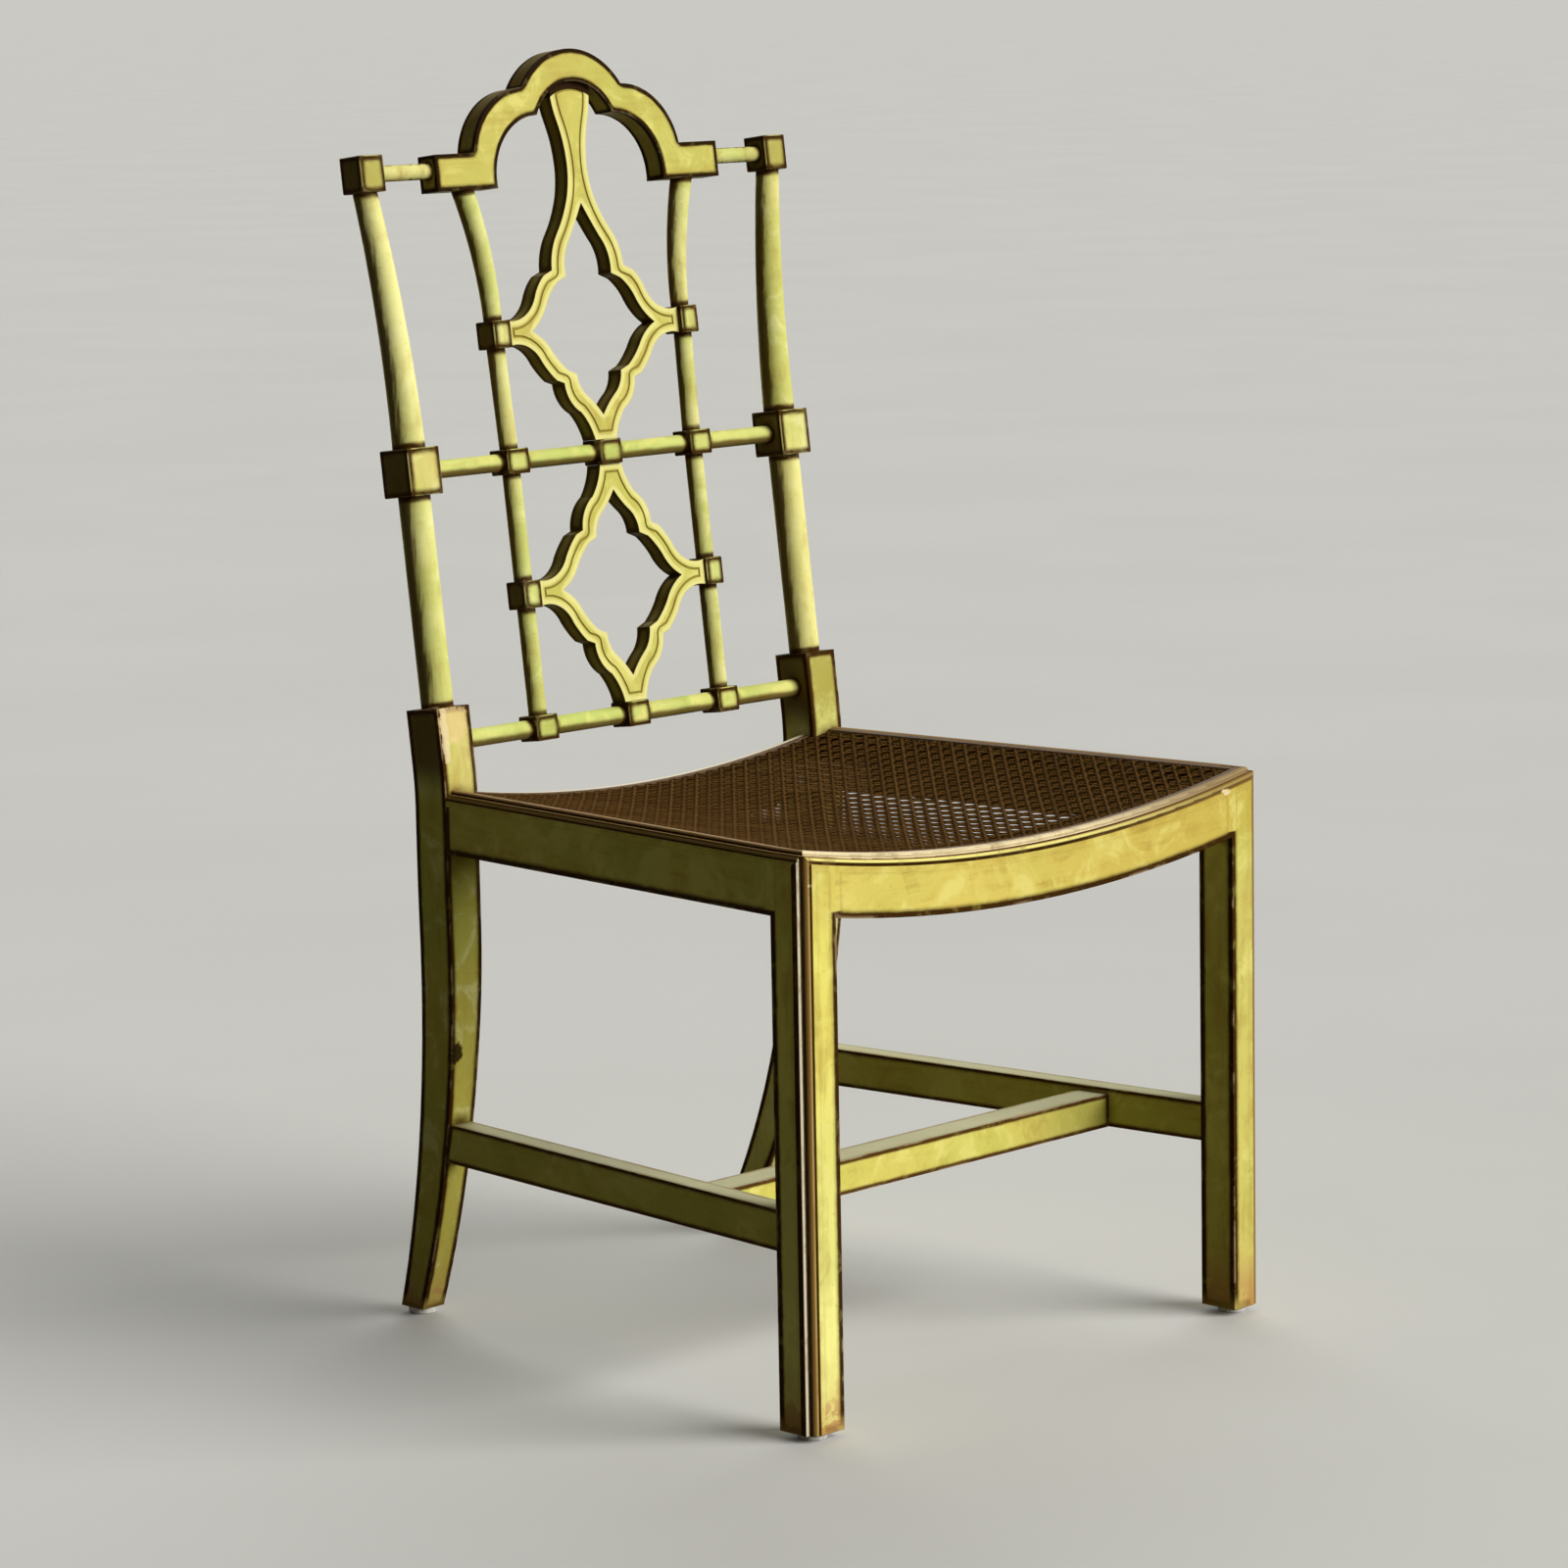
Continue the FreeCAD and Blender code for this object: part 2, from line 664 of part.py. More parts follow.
def cross_stretcher_half():
    # Half length between the inner faces of the side stretchers, at the cross stretcher's middle
    start, end = stretcher_line(1)
    unit = (end - start).normalize()
    y = front + cross_stretcher_set + cross_stretcher_thick / 2
    x = start.x + (end.x - start.x) * (y - start.y) / (end.y - start.y)
    return x - stretcher_thick / 2 / unit.y


def cross_stretcher_tenon(grow=0.0, reach=0.0):
    end = cross_stretcher_half() + cross_stretcher_tenon_long + reach
    y = front + cross_stretcher_set + cross_stretcher_thick / 2
    z = stretcher_bottom + cross_stretcher_height / 2
    half = stretcher_tenon_thick / 2 + grow
    high = stretcher_tenon_height / 2 + grow
    return box(-end, end, y - half, y + half, z - high, z + high)


def cross_stretcher():
    y = front + cross_stretcher_set
    end = cross_stretcher_half() + stretcher_thick / 2
    top = stretcher_bottom + cross_stretcher_height
    body = box(-end, end, y, y + cross_stretcher_thick, stretcher_bottom, top)
    sides = [stretcher_bar(side, stretcher_thick, stretcher_height, 0, 0) for side in (-1, 1)]
    return body.cut(sides).fuse(cross_stretcher_tenon()).removeSplitter()


def cross_rail(height, diameter, face):
    # Round rail of the back with three square blocks left on it and a tenon at each end
    end = face + cross_tenon_long
    rail = [
        round_bar(V(-face, 0, height), V(face, 0, height), diameter),
        round_bar(V(-end, 0, height), V(end, 0, height), cross_tenon_dia),
    ]
    for x in (-inner_post_at, 0, inner_post_at):
        rail.append(beveled_box((x, 0, height), cross_block_width, cross_block_depth, cross_block_height))
    return joined(rail)


def end_bore(x, height, up, diameter, long):
    # Bore that opens in a block's top (up = 1) or bottom (up = -1)
    face = height + up * cross_block_height / 2
    start = V(x, 0, face + up * mouth)
    end = V(x, 0, face - up * (long + tenon_end_gap))
    return round_bar(start, end, diameter + 2 * joint_fit)


def lower_cross_rail():
    rail = cross_rail(lower_rail_at, lower_rail_dia, lower_rail_end)
    posts = (-inner_post_at, inner_post_at)
    bores = [end_bore(x, lower_rail_at, 1, post_tenon_dia, post_tenon_long) for x in posts]
    bores.append(end_bore(0, lower_rail_at, 1, fret_pin_dia, fret_pin_long))
    return leaned(rail.cut(bores))


def middle_cross_rail():
    rail = cross_rail(middle_rail_at, middle_rail_dia, middle_rail_end)
    posts = (-inner_post_at, inner_post_at)
    bores = []
    for up in (-1, 1):
        bores += [end_bore(x, middle_rail_at, up, post_tenon_dia, post_tenon_long) for x in posts]
        bores.append(end_bore(0, middle_rail_at, up, fret_pin_dia, fret_pin_long))
    return leaned(rail.cut(bores))


lower_tip_at = (lower_rail_at + middle_rail_at) / 2
block_half = cross_block_height / 2


def tip_bore(x, height, side):
    # Bore in a post block's inner face for the pin of a fret's side point
    face = abs(x) - post_block_width / 2
    start = V(side * (face - mouth), 0, height)
    end = V(side * (face + fret_pin_long + tenon_end_gap), 0, height)
    return round_bar(start, end, fret_pin_dia + 2 * joint_fit)


def lower_inner_post(side):
    x = side * inner_post_at
    low = lower_rail_at + block_half
    high = middle_rail_at - block_half
    post = joined([
        round_bar(V(x, 0, low), V(x, 0, high), inner_post_dia),
        round_bar(V(x, 0, low - post_tenon_long), V(x, 0, high + post_tenon_long), post_tenon_dia),
        beveled_box((x, 0, lower_tip_at), post_block_width, post_block_depth, post_block_height),
    ])
    return leaned(post.cut(tip_bore(x, lower_tip_at, side)))


def upper_inner_post(side):
    x = side * inner_post_at
    tip_x = side * (inner_post_at + upper_tip_shift)
    head_x = side * (inner_post_at + inner_post_flare)
    low = middle_rail_at + block_half
    block_low, block_high = upper_tip_at - post_block_height / 2, upper_tip_at + post_block_height / 2
    slant = V(tip_x - x, 0, block_low - low).normalize() * block_sink
    body = [
        round_bar(V(x, 0, low) - slant, V(tip_x, 0, block_low) + slant, inner_post_dia),
        beveled_box((tip_x, 0, upper_tip_at), post_block_width, post_block_depth, post_block_height),
    ]
    bow_foot, bow_head = V(tip_x, 0, block_high), V(head_x, 0, crest_bottom)
    body += bowed_post(bow_foot, bow_head, inner_post_dia, inner_post_top_dia)
    between = box(-crest_half, crest_half, -crest_thick, crest_thick, low, crest_bottom)
    foot = round_bar(V(x, 0, low - post_tenon_long), V(x, 0, low + block_sink), post_tenon_dia)
    top = V(head_x, 0, crest_bottom + post_tenon_long)
    head = round_bar(V(head_x, 0, crest_bottom - block_sink), top, post_tenon_dia)
    post = joined([joined(body).common(between), foot, head])
    return leaned(post.cut(tip_bore(tip_x, upper_tip_at, side)))


def flat(x, z):
    return V(x, 0, z)


def crest_outline():
    # Right half from the shoulder's inner bottom corner round to the peak, then the arch inside
    def at(point):
        return flat(point[0], crest_bottom + point[1])

    def other(point):
        return flat(-point[0], crest_bottom + point[1])

    top = shoulder_height
    edges = []
    for side, place in ((1, at), (-1, other)):
        edges += [
            line(place((shoulder_in, 0)), place((crest_half, 0))),
            line(place((crest_half, 0)), place((crest_half, top))),
            line(place((crest_half, top)), place((lobe_start, top))),
            arc(place((lobe_start, top)), place(side_lobe), place(outer_cusp)),
            arc(place(inner_cusp), place(inner_lobe), place((shoulder_in, 0))),
        ]
    edges.append(arc(at(outer_cusp), at((0, crest_peak)), other(outer_cusp)))
    edges.append(arc(at(inner_cusp), at((0, arch_peak)), other(inner_cusp)))
    return Part.Wire(Part.__sortEdges__(edges))


def plate(outline, thick):
    face = Part.Face(outline)
    face.translate(V(0, -thick / 2, 0))
    return face.extrude(V(0, thick, 0))


def crest_rail():
    crest = plate(crest_outline(), crest_thick)
    bores = []
    for side in (-1, 1):
        start = V(side * (crest_half + mouth), 0, top_block_at)
        end = V(side * (crest_half - crest_rod_tenon_long - tenon_end_gap), 0, top_block_at)
        bores.append(round_bar(start, end, crest_rod_tenon_dia + 2 * joint_fit))
        x = side * (inner_post_at + inner_post_flare)
        foot = V(x, 0, crest_bottom - mouth)
        head = V(x, 0, crest_bottom + post_tenon_long + tenon_end_gap)
        bores.append(round_bar(foot, head, post_tenon_dia + 2 * joint_fit))
    arch = crest_bottom + arch_peak
    stem = V(0, 0, arch + fret_pin_long + tenon_end_gap)
    bores.append(round_bar(V(0, 0, arch - fret_pin_long), stem, fret_pin_dia + 2 * joint_fit))
    return leaned(crest.cut(bores))


def crest_rod(side):
    inner, outer = crest_half, crest_rod_end
    height = top_block_at
    rod = round_bar(V(side * inner, 0, height), V(side * outer, 0, height), crest_rod_dia)
    start = V(side * (inner - crest_rod_tenon_long), 0, height)
    end = V(side * (outer + crest_rod_tenon_long), 0, height)
    return leaned(joined([rod, round_bar(start, end, crest_rod_tenon_dia)]))


def arm_edges(place, outer_start, outer_tip):
    # Outer edge of one arm, from the fret's top or bottom end to its side point
    a, b, c, d = [place(p) for p in arm_outer]
    e = place(arm_outer_shoulder)
    f, g, h = [place(p) for p in arm_outer_low]
    return [arc(outer_start, a, b), arc(b, c, d), line(d, e), arc(e, f, g), arc(g, h, outer_tip)]


def arm_inner_edges(place):
    a, b, c, d = [place(p) for p in arm_inner]
    e = place(arm_inner_shoulder)
    f, g, h = [place(p) for p in arm_inner_low]
    start, end = place((0, arm_crotch)), place((arm_side_crotch, 0))
    return [arc(start, a, b), arc(b, c, d), line(d, e), arc(e, f, g), arc(g, h, end)]


def crown_edges(place, tip, fan):
    # Outer edge of the upper fret above its side point, up the stem to the fan
    a, b, c = [place(p) for p in crown_outer_low]
    d = place(crown_outer_shoulder)
    e, f, g, h, i = [place(p) for p in crown_outer]
    j, k, m, n, o = [place(p) for p in crown_stem]
    return [
        arc(tip, a, b), arc(b, c, d), line(d, e), arc(e, f, g), arc(g, h, i),
        arc(i, j, k), arc(k, m, n), arc(n, o, fan),
    ]


def crown_inner_edges(place):
    a, b, c, d = [place(p) for p in crown_inner]
    e = place(crown_inner_shoulder)
    f, g, h = [place(p) for p in crown_inner_low]
    start, end = place((0, crown_crotch)), place((arm_side_crotch, 0))
    return [arc(start, a, b), arc(b, c, d), line(d, e), arc(e, f, g), arc(g, h, end)]


def placer(across, middle, up):
    # From an arm's drawing to the fret: across and up are the fitted scale, with their signs
    return lambda point: flat(point[0] * across, middle + point[1] * up)


def scribed(fret, outer):
    # Line scribed on the front, all round inside the outer edge
    face = Part.Face(outer)
    ring = face.makeOffset2D(-scribe_inset).cut(face.makeOffset2D(-scribe_inset - scribe_width))
    ring.translate(V(0, -fret_thick / 2 - mouth, 0))
    return fret.cut(ring.extrude(V(0, mouth + scribe_depth, 0)))


def pins(ends):
    # Round pins from the fret's ends into the blocks: (point on the end, direction)
    return [round_bar(p - d * fret_pin_long, p + d * fret_pin_long, fret_pin_dia) for p, d in ends]


def fret_from(outer, inner, ends, set_back):
    fret = scribed(plate(outer, fret_thick).cut(plate(inner, 2 * fret_thick)), outer)
    fret.translate(V(0, set_back, 0))
    return leaned(joined([fret] + pins(ends)))


def lower_fret():
    tip = inner_post_at - post_block_width / 2 - fret_seat_gap
    reach = lower_tip_at - lower_rail_at - block_half - fret_seat_gap
    wide, high = tip / arm_reach[0], reach / arm_reach[1]
    half_tip, half_foot = fret_tip_height / 2, fret_foot_width / 2
    outer, inner = [], []
    for sx in (-1, 1):
        for sz in (-1, 1):
            place = placer(sx * wide, lower_tip_at, sz * high)
            start = flat(sx * half_foot, lower_tip_at + sz * reach)
            outer += arm_edges(place, start, flat(sx * tip, lower_tip_at + sz * half_tip))
            inner += arm_inner_edges(place)
        outer.append(line(flat(sx * tip, lower_tip_at - half_tip), flat(sx * tip, lower_tip_at + half_tip)))
    for sz in (-1, 1):
        end = lower_tip_at + sz * reach
        outer.append(line(flat(-half_foot, end), flat(half_foot, end)))
    ends = [(flat(s * tip, lower_tip_at), V(s, 0, 0)) for s in (-1, 1)]
    ends += [(flat(0, lower_tip_at + s * reach), V(0, 0, s)) for s in (-1, 1)]
    outlines = [Part.Wire(Part.__sortEdges__(edges)) for edges in (outer, inner)]
    return fret_from(*outlines, ends, 0)


def upper_fret():
    tip = inner_post_at + upper_tip_shift - post_block_width / 2 - fret_seat_gap
    reach = upper_tip_at - middle_rail_at - block_half - fret_seat_gap
    wide, high = tip / arm_reach[0], reach / arm_reach[1]
    half_tip, half_foot = fret_tip_height / 2, fret_foot_width / 2
    arch = crest_bottom + arch_peak - fret_seat_gap
    sag = arch_peak - inner_cusp[1]
    arch_radius = (inner_cusp[0] ** 2 + sag ** 2) / (2 * sag)
    fan_drop = arch_radius - math.sqrt(arch_radius ** 2 - fan_half ** 2)
    tall = (arch - fan_drop - upper_tip_at) / crown_reach
    outer, inner = [], []
    for sx in (-1, 1):
        low = placer(sx * wide, upper_tip_at, -high)
        crown = placer(sx * wide, upper_tip_at, tall)
        start = flat(sx * half_foot, upper_tip_at - reach)
        outer += arm_edges(low, start, flat(sx * tip, upper_tip_at - half_tip))
        fan = flat(sx * fan_half, arch - fan_drop)
        outer += crown_edges(crown, flat(sx * tip, upper_tip_at + half_tip), fan)
        outer.append(line(flat(sx * tip, upper_tip_at - half_tip), flat(sx * tip, upper_tip_at + half_tip)))
        inner += arm_inner_edges(low) + crown_inner_edges(crown)
    outer.append(line(flat(-half_foot, upper_tip_at - reach), flat(half_foot, upper_tip_at - reach)))
    outer.append(arc(flat(-fan_half, arch - fan_drop), flat(0, arch), flat(fan_half, arch - fan_drop)))
    ends = [(flat(s * tip, upper_tip_at), V(s, 0, 0)) for s in (-1, 1)]
    ends += [(flat(0, upper_tip_at - reach), V(0, 0, -1)), (flat(0, arch), V(0, 0, 1))]
    outlines = [Part.Wire(Part.__sortEdges__(edges)) for edges in (outer, inner)]
    return fret_from(*outlines, ends, upper_fret_back)


def stile_room(side, gap):
    # Room for a stile at the seat, with a gap round it
    x0 = side * (back_width / 2 - stile_width - gap)
    x1 = side * (back_width / 2 + beyond)
    return box(x0, x1, stile_front_y - gap, stile_front_y + beyond, 0, seat_height + beyond)


def cane_section(y, half, sag):
    # Thin sagging band across the seat at a depth y
    dip, radius = sag

    def height(x):
        return seat_height - dip + radius - math.sqrt(radius ** 2 - x ** 2)

    low = V(0, 0, cane_thick)
    left, middle, right = V(-half, y, height(half)), V(0, y, height(0)), V(half, y, height(half))
    return Part.Wire([
        arc(left, middle, right), line(right, right - low),
        arc(right - low, middle - low, left - low), line(left - low, left),
    ])


def weave_openings(front_y, back_y, wall):
    # Openings of the weave, in rows that narrow with the seat
    row_pitch = (back_y - front_y - 2 * cane_closed_edge) / cane_holes_deep
    deep = row_pitch * cane_hole_share
    openings = []
    for row in range(cane_holes_deep):
        y = front_y + cane_closed_edge + (row + 0.5) * row_pitch
        half = side_line_x(y) - wall - cane_closed_edge
        pitch = 2 * half / cane_holes_across
        wide = pitch * cane_hole_share
        for column in range(cane_holes_across):
            x = (column + 0.5) * pitch - half
            openings.append(box(x - wide / 2, x + wide / 2, y - deep / 2, y + deep / 2, 0, 2 * seat_height))
    return openings


def cane_panel():
    inset = bed_inset + spline_fit
    front_y, back_y = front + inset, back_rail_back - inset
    wall = inset / math.cos(toe)
    sections = [
        cane_section(front_y, side_line_x(front_y) - wall, front_sag),
        cane_section(back_y, side_line_x(back_y) - wall, back_sag),
    ]
    panel = Part.makeLoft(sections, True, True)
    panel = panel.cut([stile_room(side, stile_notch_gap) for side in (-1, 1)])
    return panel.cut(weave_openings(front_y, back_y, wall))


def dip_spline(outer_y, inward, sag, half):
    top = seat_height - sag[0]
    near = outer_y + inward * (mould_size + rim + spline_fit)
    far = outer_y + inward * (bed_inset - spline_fit)
    low = top - groove_depth + spline_fit
    strip = along_dip(middle_section([(near, low), (far, low), (far, top), (near, top)]), sag)
    return strip.common(box(-half, half, -overall_depth, overall_depth, 0, 2 * seat_height))


def front_spline():
    y = front + bed_inset
    half = side_line_x(y) - (mould_size + rim + spline_fit) / math.cos(toe)
    return dip_spline(front, 1, front_sag, half)


def back_spline():
    return dip_spline(back_rail_back, -1, back_sag, back_rail_half - stile_notch_gap)


def side_spline(side):
    near = mould_size + rim + spline_fit
    far = bed_inset - spline_fit
    low = seat_height - groove_depth + spline_fit
    section = [(near, low), (far, low)] + [(a, seat_height - a * edge_slope) for a in (far, near)]
    strip = along_side(side, section, -leg_size, side_length + leg_size + stile_depth)
    start_y = front + bed_inset + spline_fit
    front_room = box(-front_width, front_width, front - beyond, start_y, 0, 2 * seat_height)
    return strip.cut([front_room, stile_room(side, spline_fit)])


def corner_block_face(side, back):
    # Plan of a corner block as points: the frame's inner corner, then along each rail
    cross_y = back_rail_front if back else front + front_rail_thick
    away = -1 if back else 1
    gap = corner_block_gap
    inner = rail_thick / math.cos(toe)

    def side_x(y):
        return side_line_x(y) - inner - gap

    y0 = cross_y + away * gap
    corner_x = side_x(y0)
    y1 = y0 + away * corner_block_reach
    plan_points = [(corner_x, y0), (corner_x - corner_block_reach, y0), (side_x(y1), y1)]
    return [V(side * x, y, 0) for x, y in plan_points]


def corner_screws(side, back):
    # Each screw of a corner block: (point of the head's top, direction)
    corner, along_cross, along_side_rail = corner_block_face(side, back)
    away = -1 if back else 1
    reach_x = screw_from_end
    cover = screw_cover + screw_head_long
    z = seat_height - corner_block_drop - corner_block_height / 2
    into_cross = V(along_cross.x + side * reach_x, along_cross.y + away * cover, z)
    turned = FreeCAD.Rotation(V(0, 0, 1), side * math.degrees(toe)).multVec(V(side, 0, 0))
    base = along_side_rail - V(0, away * reach_x, 0)
    into_side = V(base.x, base.y, z) - turned * cover
    return [(into_cross, V(0, -away, 0)), (into_side, turned)]


def screw(head, direction, grow=0.0, head_room=0.0):
    start = head - direction * head_room
    under = head + direction * screw_head_long
    tip = under + direction * (screw_cover + corner_block_gap + screw_in_rail + grow)
    top = round_bar(start, head + direction * grow, screw_head_dia + 2 * grow) if head_room else None
    cone = round_bar(head, under, screw_head_dia + 2 * grow, screw_dia + 2 * grow)
    pieces = [cone, round_bar(under, tip, screw_dia + 2 * grow)]
    return joined(pieces + ([top] if top else []))


def corner_block(side, back):
    points = corner_block_face(side, back)
    block = prism(points, V(0, 0, corner_block_height))
    block.translate(V(0, 0, seat_height - corner_block_drop - corner_block_height))
    screws = corner_screws(side, back)
    return block.cut([screw(head, way, joint_fit, corner_block_reach) for head, way in screws])


corners = [
    ("front_left", -1, False), ("front_right", 1, False), ("back_left", -1, True), ("back_right", 1, True),
]


def all_screws():
    return [screw(head, way) for name, side, back in corners for head, way in corner_screws(side, back)]


def screw_bores(side=None, back=None):
    # Pilot bores for the screws of the blocks at one side, or at the front or back
    bores = []
    for name, block_side, block_back in corners:
        if side in (None, block_side) and back in (None, block_back):
            bores += [screw(head, way, joint_fit) for head, way in corner_screws(block_side, block_back)]
    return bores


def glide(side, back):
    x, y = foot_middle(side, back)
    pad = Part.makeCylinder(glide_dia / 2, glide_high, V(x, y, 0))
    lower_rim = [edge for edge in pad.Edges if abs(edge.BoundBox.ZMax) < 1e-6]
    pad = pad.makeChamfer(glide_bevel, lower_rim)
    pin = round_bar(V(x, y, glide_high - glide_bevel), V(x, y, glide_high + glide_pin_long), glide_pin_dia)
    return joined([pad, pin])


def chair():
    nodes = {
        "front_seat_rail": front_seat_rail().cut(screw_bores(back=False)),
        "back_seat_rail": back_seat_rail().cut(screw_bores(back=True)),
        "cross_stretcher": cross_stretcher(),
        "lower_cross_rail": lower_cross_rail(),
        "middle_cross_rail": middle_cross_rail(),
        "crest_rail": crest_rail(),
        "upper_fret": upper_fret(),
        "lower_fret": lower_fret(),
        "cane_panel": cane_panel(),
        "front_cane_spline": front_spline(),
        "back_cane_spline": back_spline(),
        "corner_block_screws": Part.makeCompound(all_screws()),
    }
    nodes["front_leg_left"] = front_leg(-1)
    nodes["front_leg_right"] = mirrored(nodes["front_leg_left"])
    for name, side in (("left", -1), ("right", 1)):
        nodes["back_stile_" + name] = back_stile(side)
        nodes["seat_rail_" + name] = side_seat_rail(side).cut(screw_bores(side=side))
        nodes["side_stretcher_" + name] = side_stretcher(side)
        nodes["lower_inner_post_" + name] = lower_inner_post(side)
        nodes["upper_inner_post_" + name] = upper_inner_post(side)
        nodes["crest_rod_" + name] = crest_rod(side)
        nodes["cane_spline_" + name] = side_spline(side)
    for name, side, back in corners:
        nodes["corner_block_" + name] = corner_block(side, back)
        nodes["glide_" + name] = glide(side, back)
    return nodes


os.makedirs("parts", exist_ok=True)
for name, shape in chair().items():
    print(f"{name}: {len(shape.Solids)} solid, valid {shape.isValid()}, {shape.Volume / 1000:.1f} cm3")
    shape.exportStep(f"parts/{name}.step")
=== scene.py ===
import math

import bpy
import numpy as np
from mathutils import Matrix, Vector


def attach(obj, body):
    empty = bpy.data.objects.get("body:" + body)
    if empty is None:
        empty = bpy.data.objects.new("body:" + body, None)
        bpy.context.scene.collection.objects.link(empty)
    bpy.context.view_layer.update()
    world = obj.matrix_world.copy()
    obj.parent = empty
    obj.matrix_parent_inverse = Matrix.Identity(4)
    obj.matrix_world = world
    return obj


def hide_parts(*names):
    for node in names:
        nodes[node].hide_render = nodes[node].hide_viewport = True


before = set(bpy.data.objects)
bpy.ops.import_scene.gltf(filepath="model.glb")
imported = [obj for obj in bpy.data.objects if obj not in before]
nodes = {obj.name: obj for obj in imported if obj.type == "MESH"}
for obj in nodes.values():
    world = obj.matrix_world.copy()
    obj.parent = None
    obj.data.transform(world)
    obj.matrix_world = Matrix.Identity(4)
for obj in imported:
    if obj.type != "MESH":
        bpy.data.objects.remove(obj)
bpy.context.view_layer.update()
scene = bpy.context.scene
scene.view_settings.view_transform = "Standard"
print("frame loaded:", len(nodes), "nodes")


# helpers for node trees

def tone(r, g, b):
    # screen colour 0-255 to the linear value that a socket takes
    def linear(v):
        v = v / 255
        return v / 12.92 if v <= 0.04045 else ((v + 0.055) / 1.055) ** 2.4
    return (linear(r), linear(g), linear(b), 1.0)


def give(tree, socket, value):
    if isinstance(value, bpy.types.NodeSocket):
        tree.links.new(value, socket)
    else:
        socket.default_value = value


def put(tree, kind, settings=None, **values):
    made = tree.nodes.new(kind)
    for name, value in (settings or {}).items():
        setattr(made, name, value)
    for name, value in values.items():
        give(tree, made.inputs[name.replace("_", " ")], value)
    return made


def calc(tree, operation, *values, clamp=False):
    made = tree.nodes.new("ShaderNodeMath")
    made.operation = operation
    made.use_clamp = clamp
    for socket, value in zip(made.inputs, values):
        give(tree, socket, value)
    return made.outputs[0]


def vectorCalc(tree, operation, first, second):
    made = tree.nodes.new("ShaderNodeVectorMath")
    made.operation = operation
    give(tree, made.inputs[0], first)
    give(tree, made.inputs[1], second)
    return made.outputs["Value" if operation == "DOT_PRODUCT" else "Vector"]


def dot(tree, first, second):
    return vectorCalc(tree, "DOT_PRODUCT", first, second)


def times(tree, first, *others):
    for value in others:
        first = calc(tree, "MULTIPLY", first, value)
    return first


def blend(tree, share, first, second):
    made = tree.nodes.new("ShaderNodeMix")
    made.data_type = "RGBA"
    give(tree, made.inputs[0], share)
    give(tree, made.inputs[6], first)
    give(tree, made.inputs[7], second)
    return made.outputs[2]


def cover(tree, colour, mask, share, coat):
    # a coat of another colour where the mask lets it
    return blend(tree, times(tree, mask, share), colour, coat)


def turn(tree, share, first, second):
    # from one direction to another
    made = tree.nodes.new("ShaderNodeMix")
    made.data_type = "VECTOR"
    give(tree, made.inputs[0], share)
    give(tree, made.inputs[4], first)
    give(tree, made.inputs[5], second)
    return made.outputs[1]


def ramp(tree, value, low, high, lowOut=0.0, highOut=1.0):
    made = put(tree, "ShaderNodeMapRange", {"interpolation_type": "SMOOTHSTEP"}, Value=value,
               From_Min=low, From_Max=high, To_Min=lowOut, To_Max=highOut)
    return made.outputs["Result"]


def noise(tree, where, scale, detail=4.0, rough=0.55, twist=0.0):
    made = put(tree, "ShaderNodeTexNoise", Vector=where, Scale=scale, Detail=detail, Roughness=rough,
               Distortion=twist)
    return made.outputs["Fac"]


def place(tree):
    return put(tree, "ShaderNodeTexCoord").outputs["Object"]


def facing(tree):
    return put(tree, "ShaderNodeNewGeometry").outputs["Normal"]


def apart(tree, vector):
    return put(tree, "ShaderNodeSeparateXYZ", Vector=vector).outputs


def newMaterial(name):
    material = bpy.data.materials.new(name)
    material.use_nodes = True
    tree = material.node_tree
    return material, tree, tree.nodes["Principled BSDF"]


def roughen(tree, shader, **values):
    bump = put(tree, "ShaderNodeBump", **values)
    give(tree, shader.inputs["Normal"], bump.outputs[0])


def newGroup(name, inputs, outputs):
    # inputs as (label, kind, value), outputs as (label, kind)
    tree = bpy.data.node_groups.new(name, "ShaderNodeTree")
    kinds = {"f": "NodeSocketFloat", "c": "NodeSocketColor", "v": "NodeSocketVector"}
    for label, kind, value in inputs:
        socket = tree.interface.new_socket(label, in_out="INPUT", socket_type=kinds[kind])
        socket.default_value = value
    for label, kind in outputs:
        tree.interface.new_socket(label, in_out="OUTPUT", socket_type=kinds[kind])
    given = tree.nodes.new("NodeGroupInput").outputs
    out = tree.nodes.new("NodeGroupOutput").inputs
    return tree, given, out


def useGroup(tree, group, **values):
    made = tree.nodes.new("ShaderNodeGroup")
    made.node_tree = group
    for name, value in values.items():
        give(tree, made.inputs[name.replace("_", " ")], value)
    return made.outputs


# shared effects

# how far the rounded normal has turned away, from nothing to the full effect
arris = {
    "line": (0.005, 0.024),
    "halo": (0.0006, 0.009),
    "worn": (0.15, 0.25),
    "softRadius": 0.0009,    # of the edge that the light sees
}


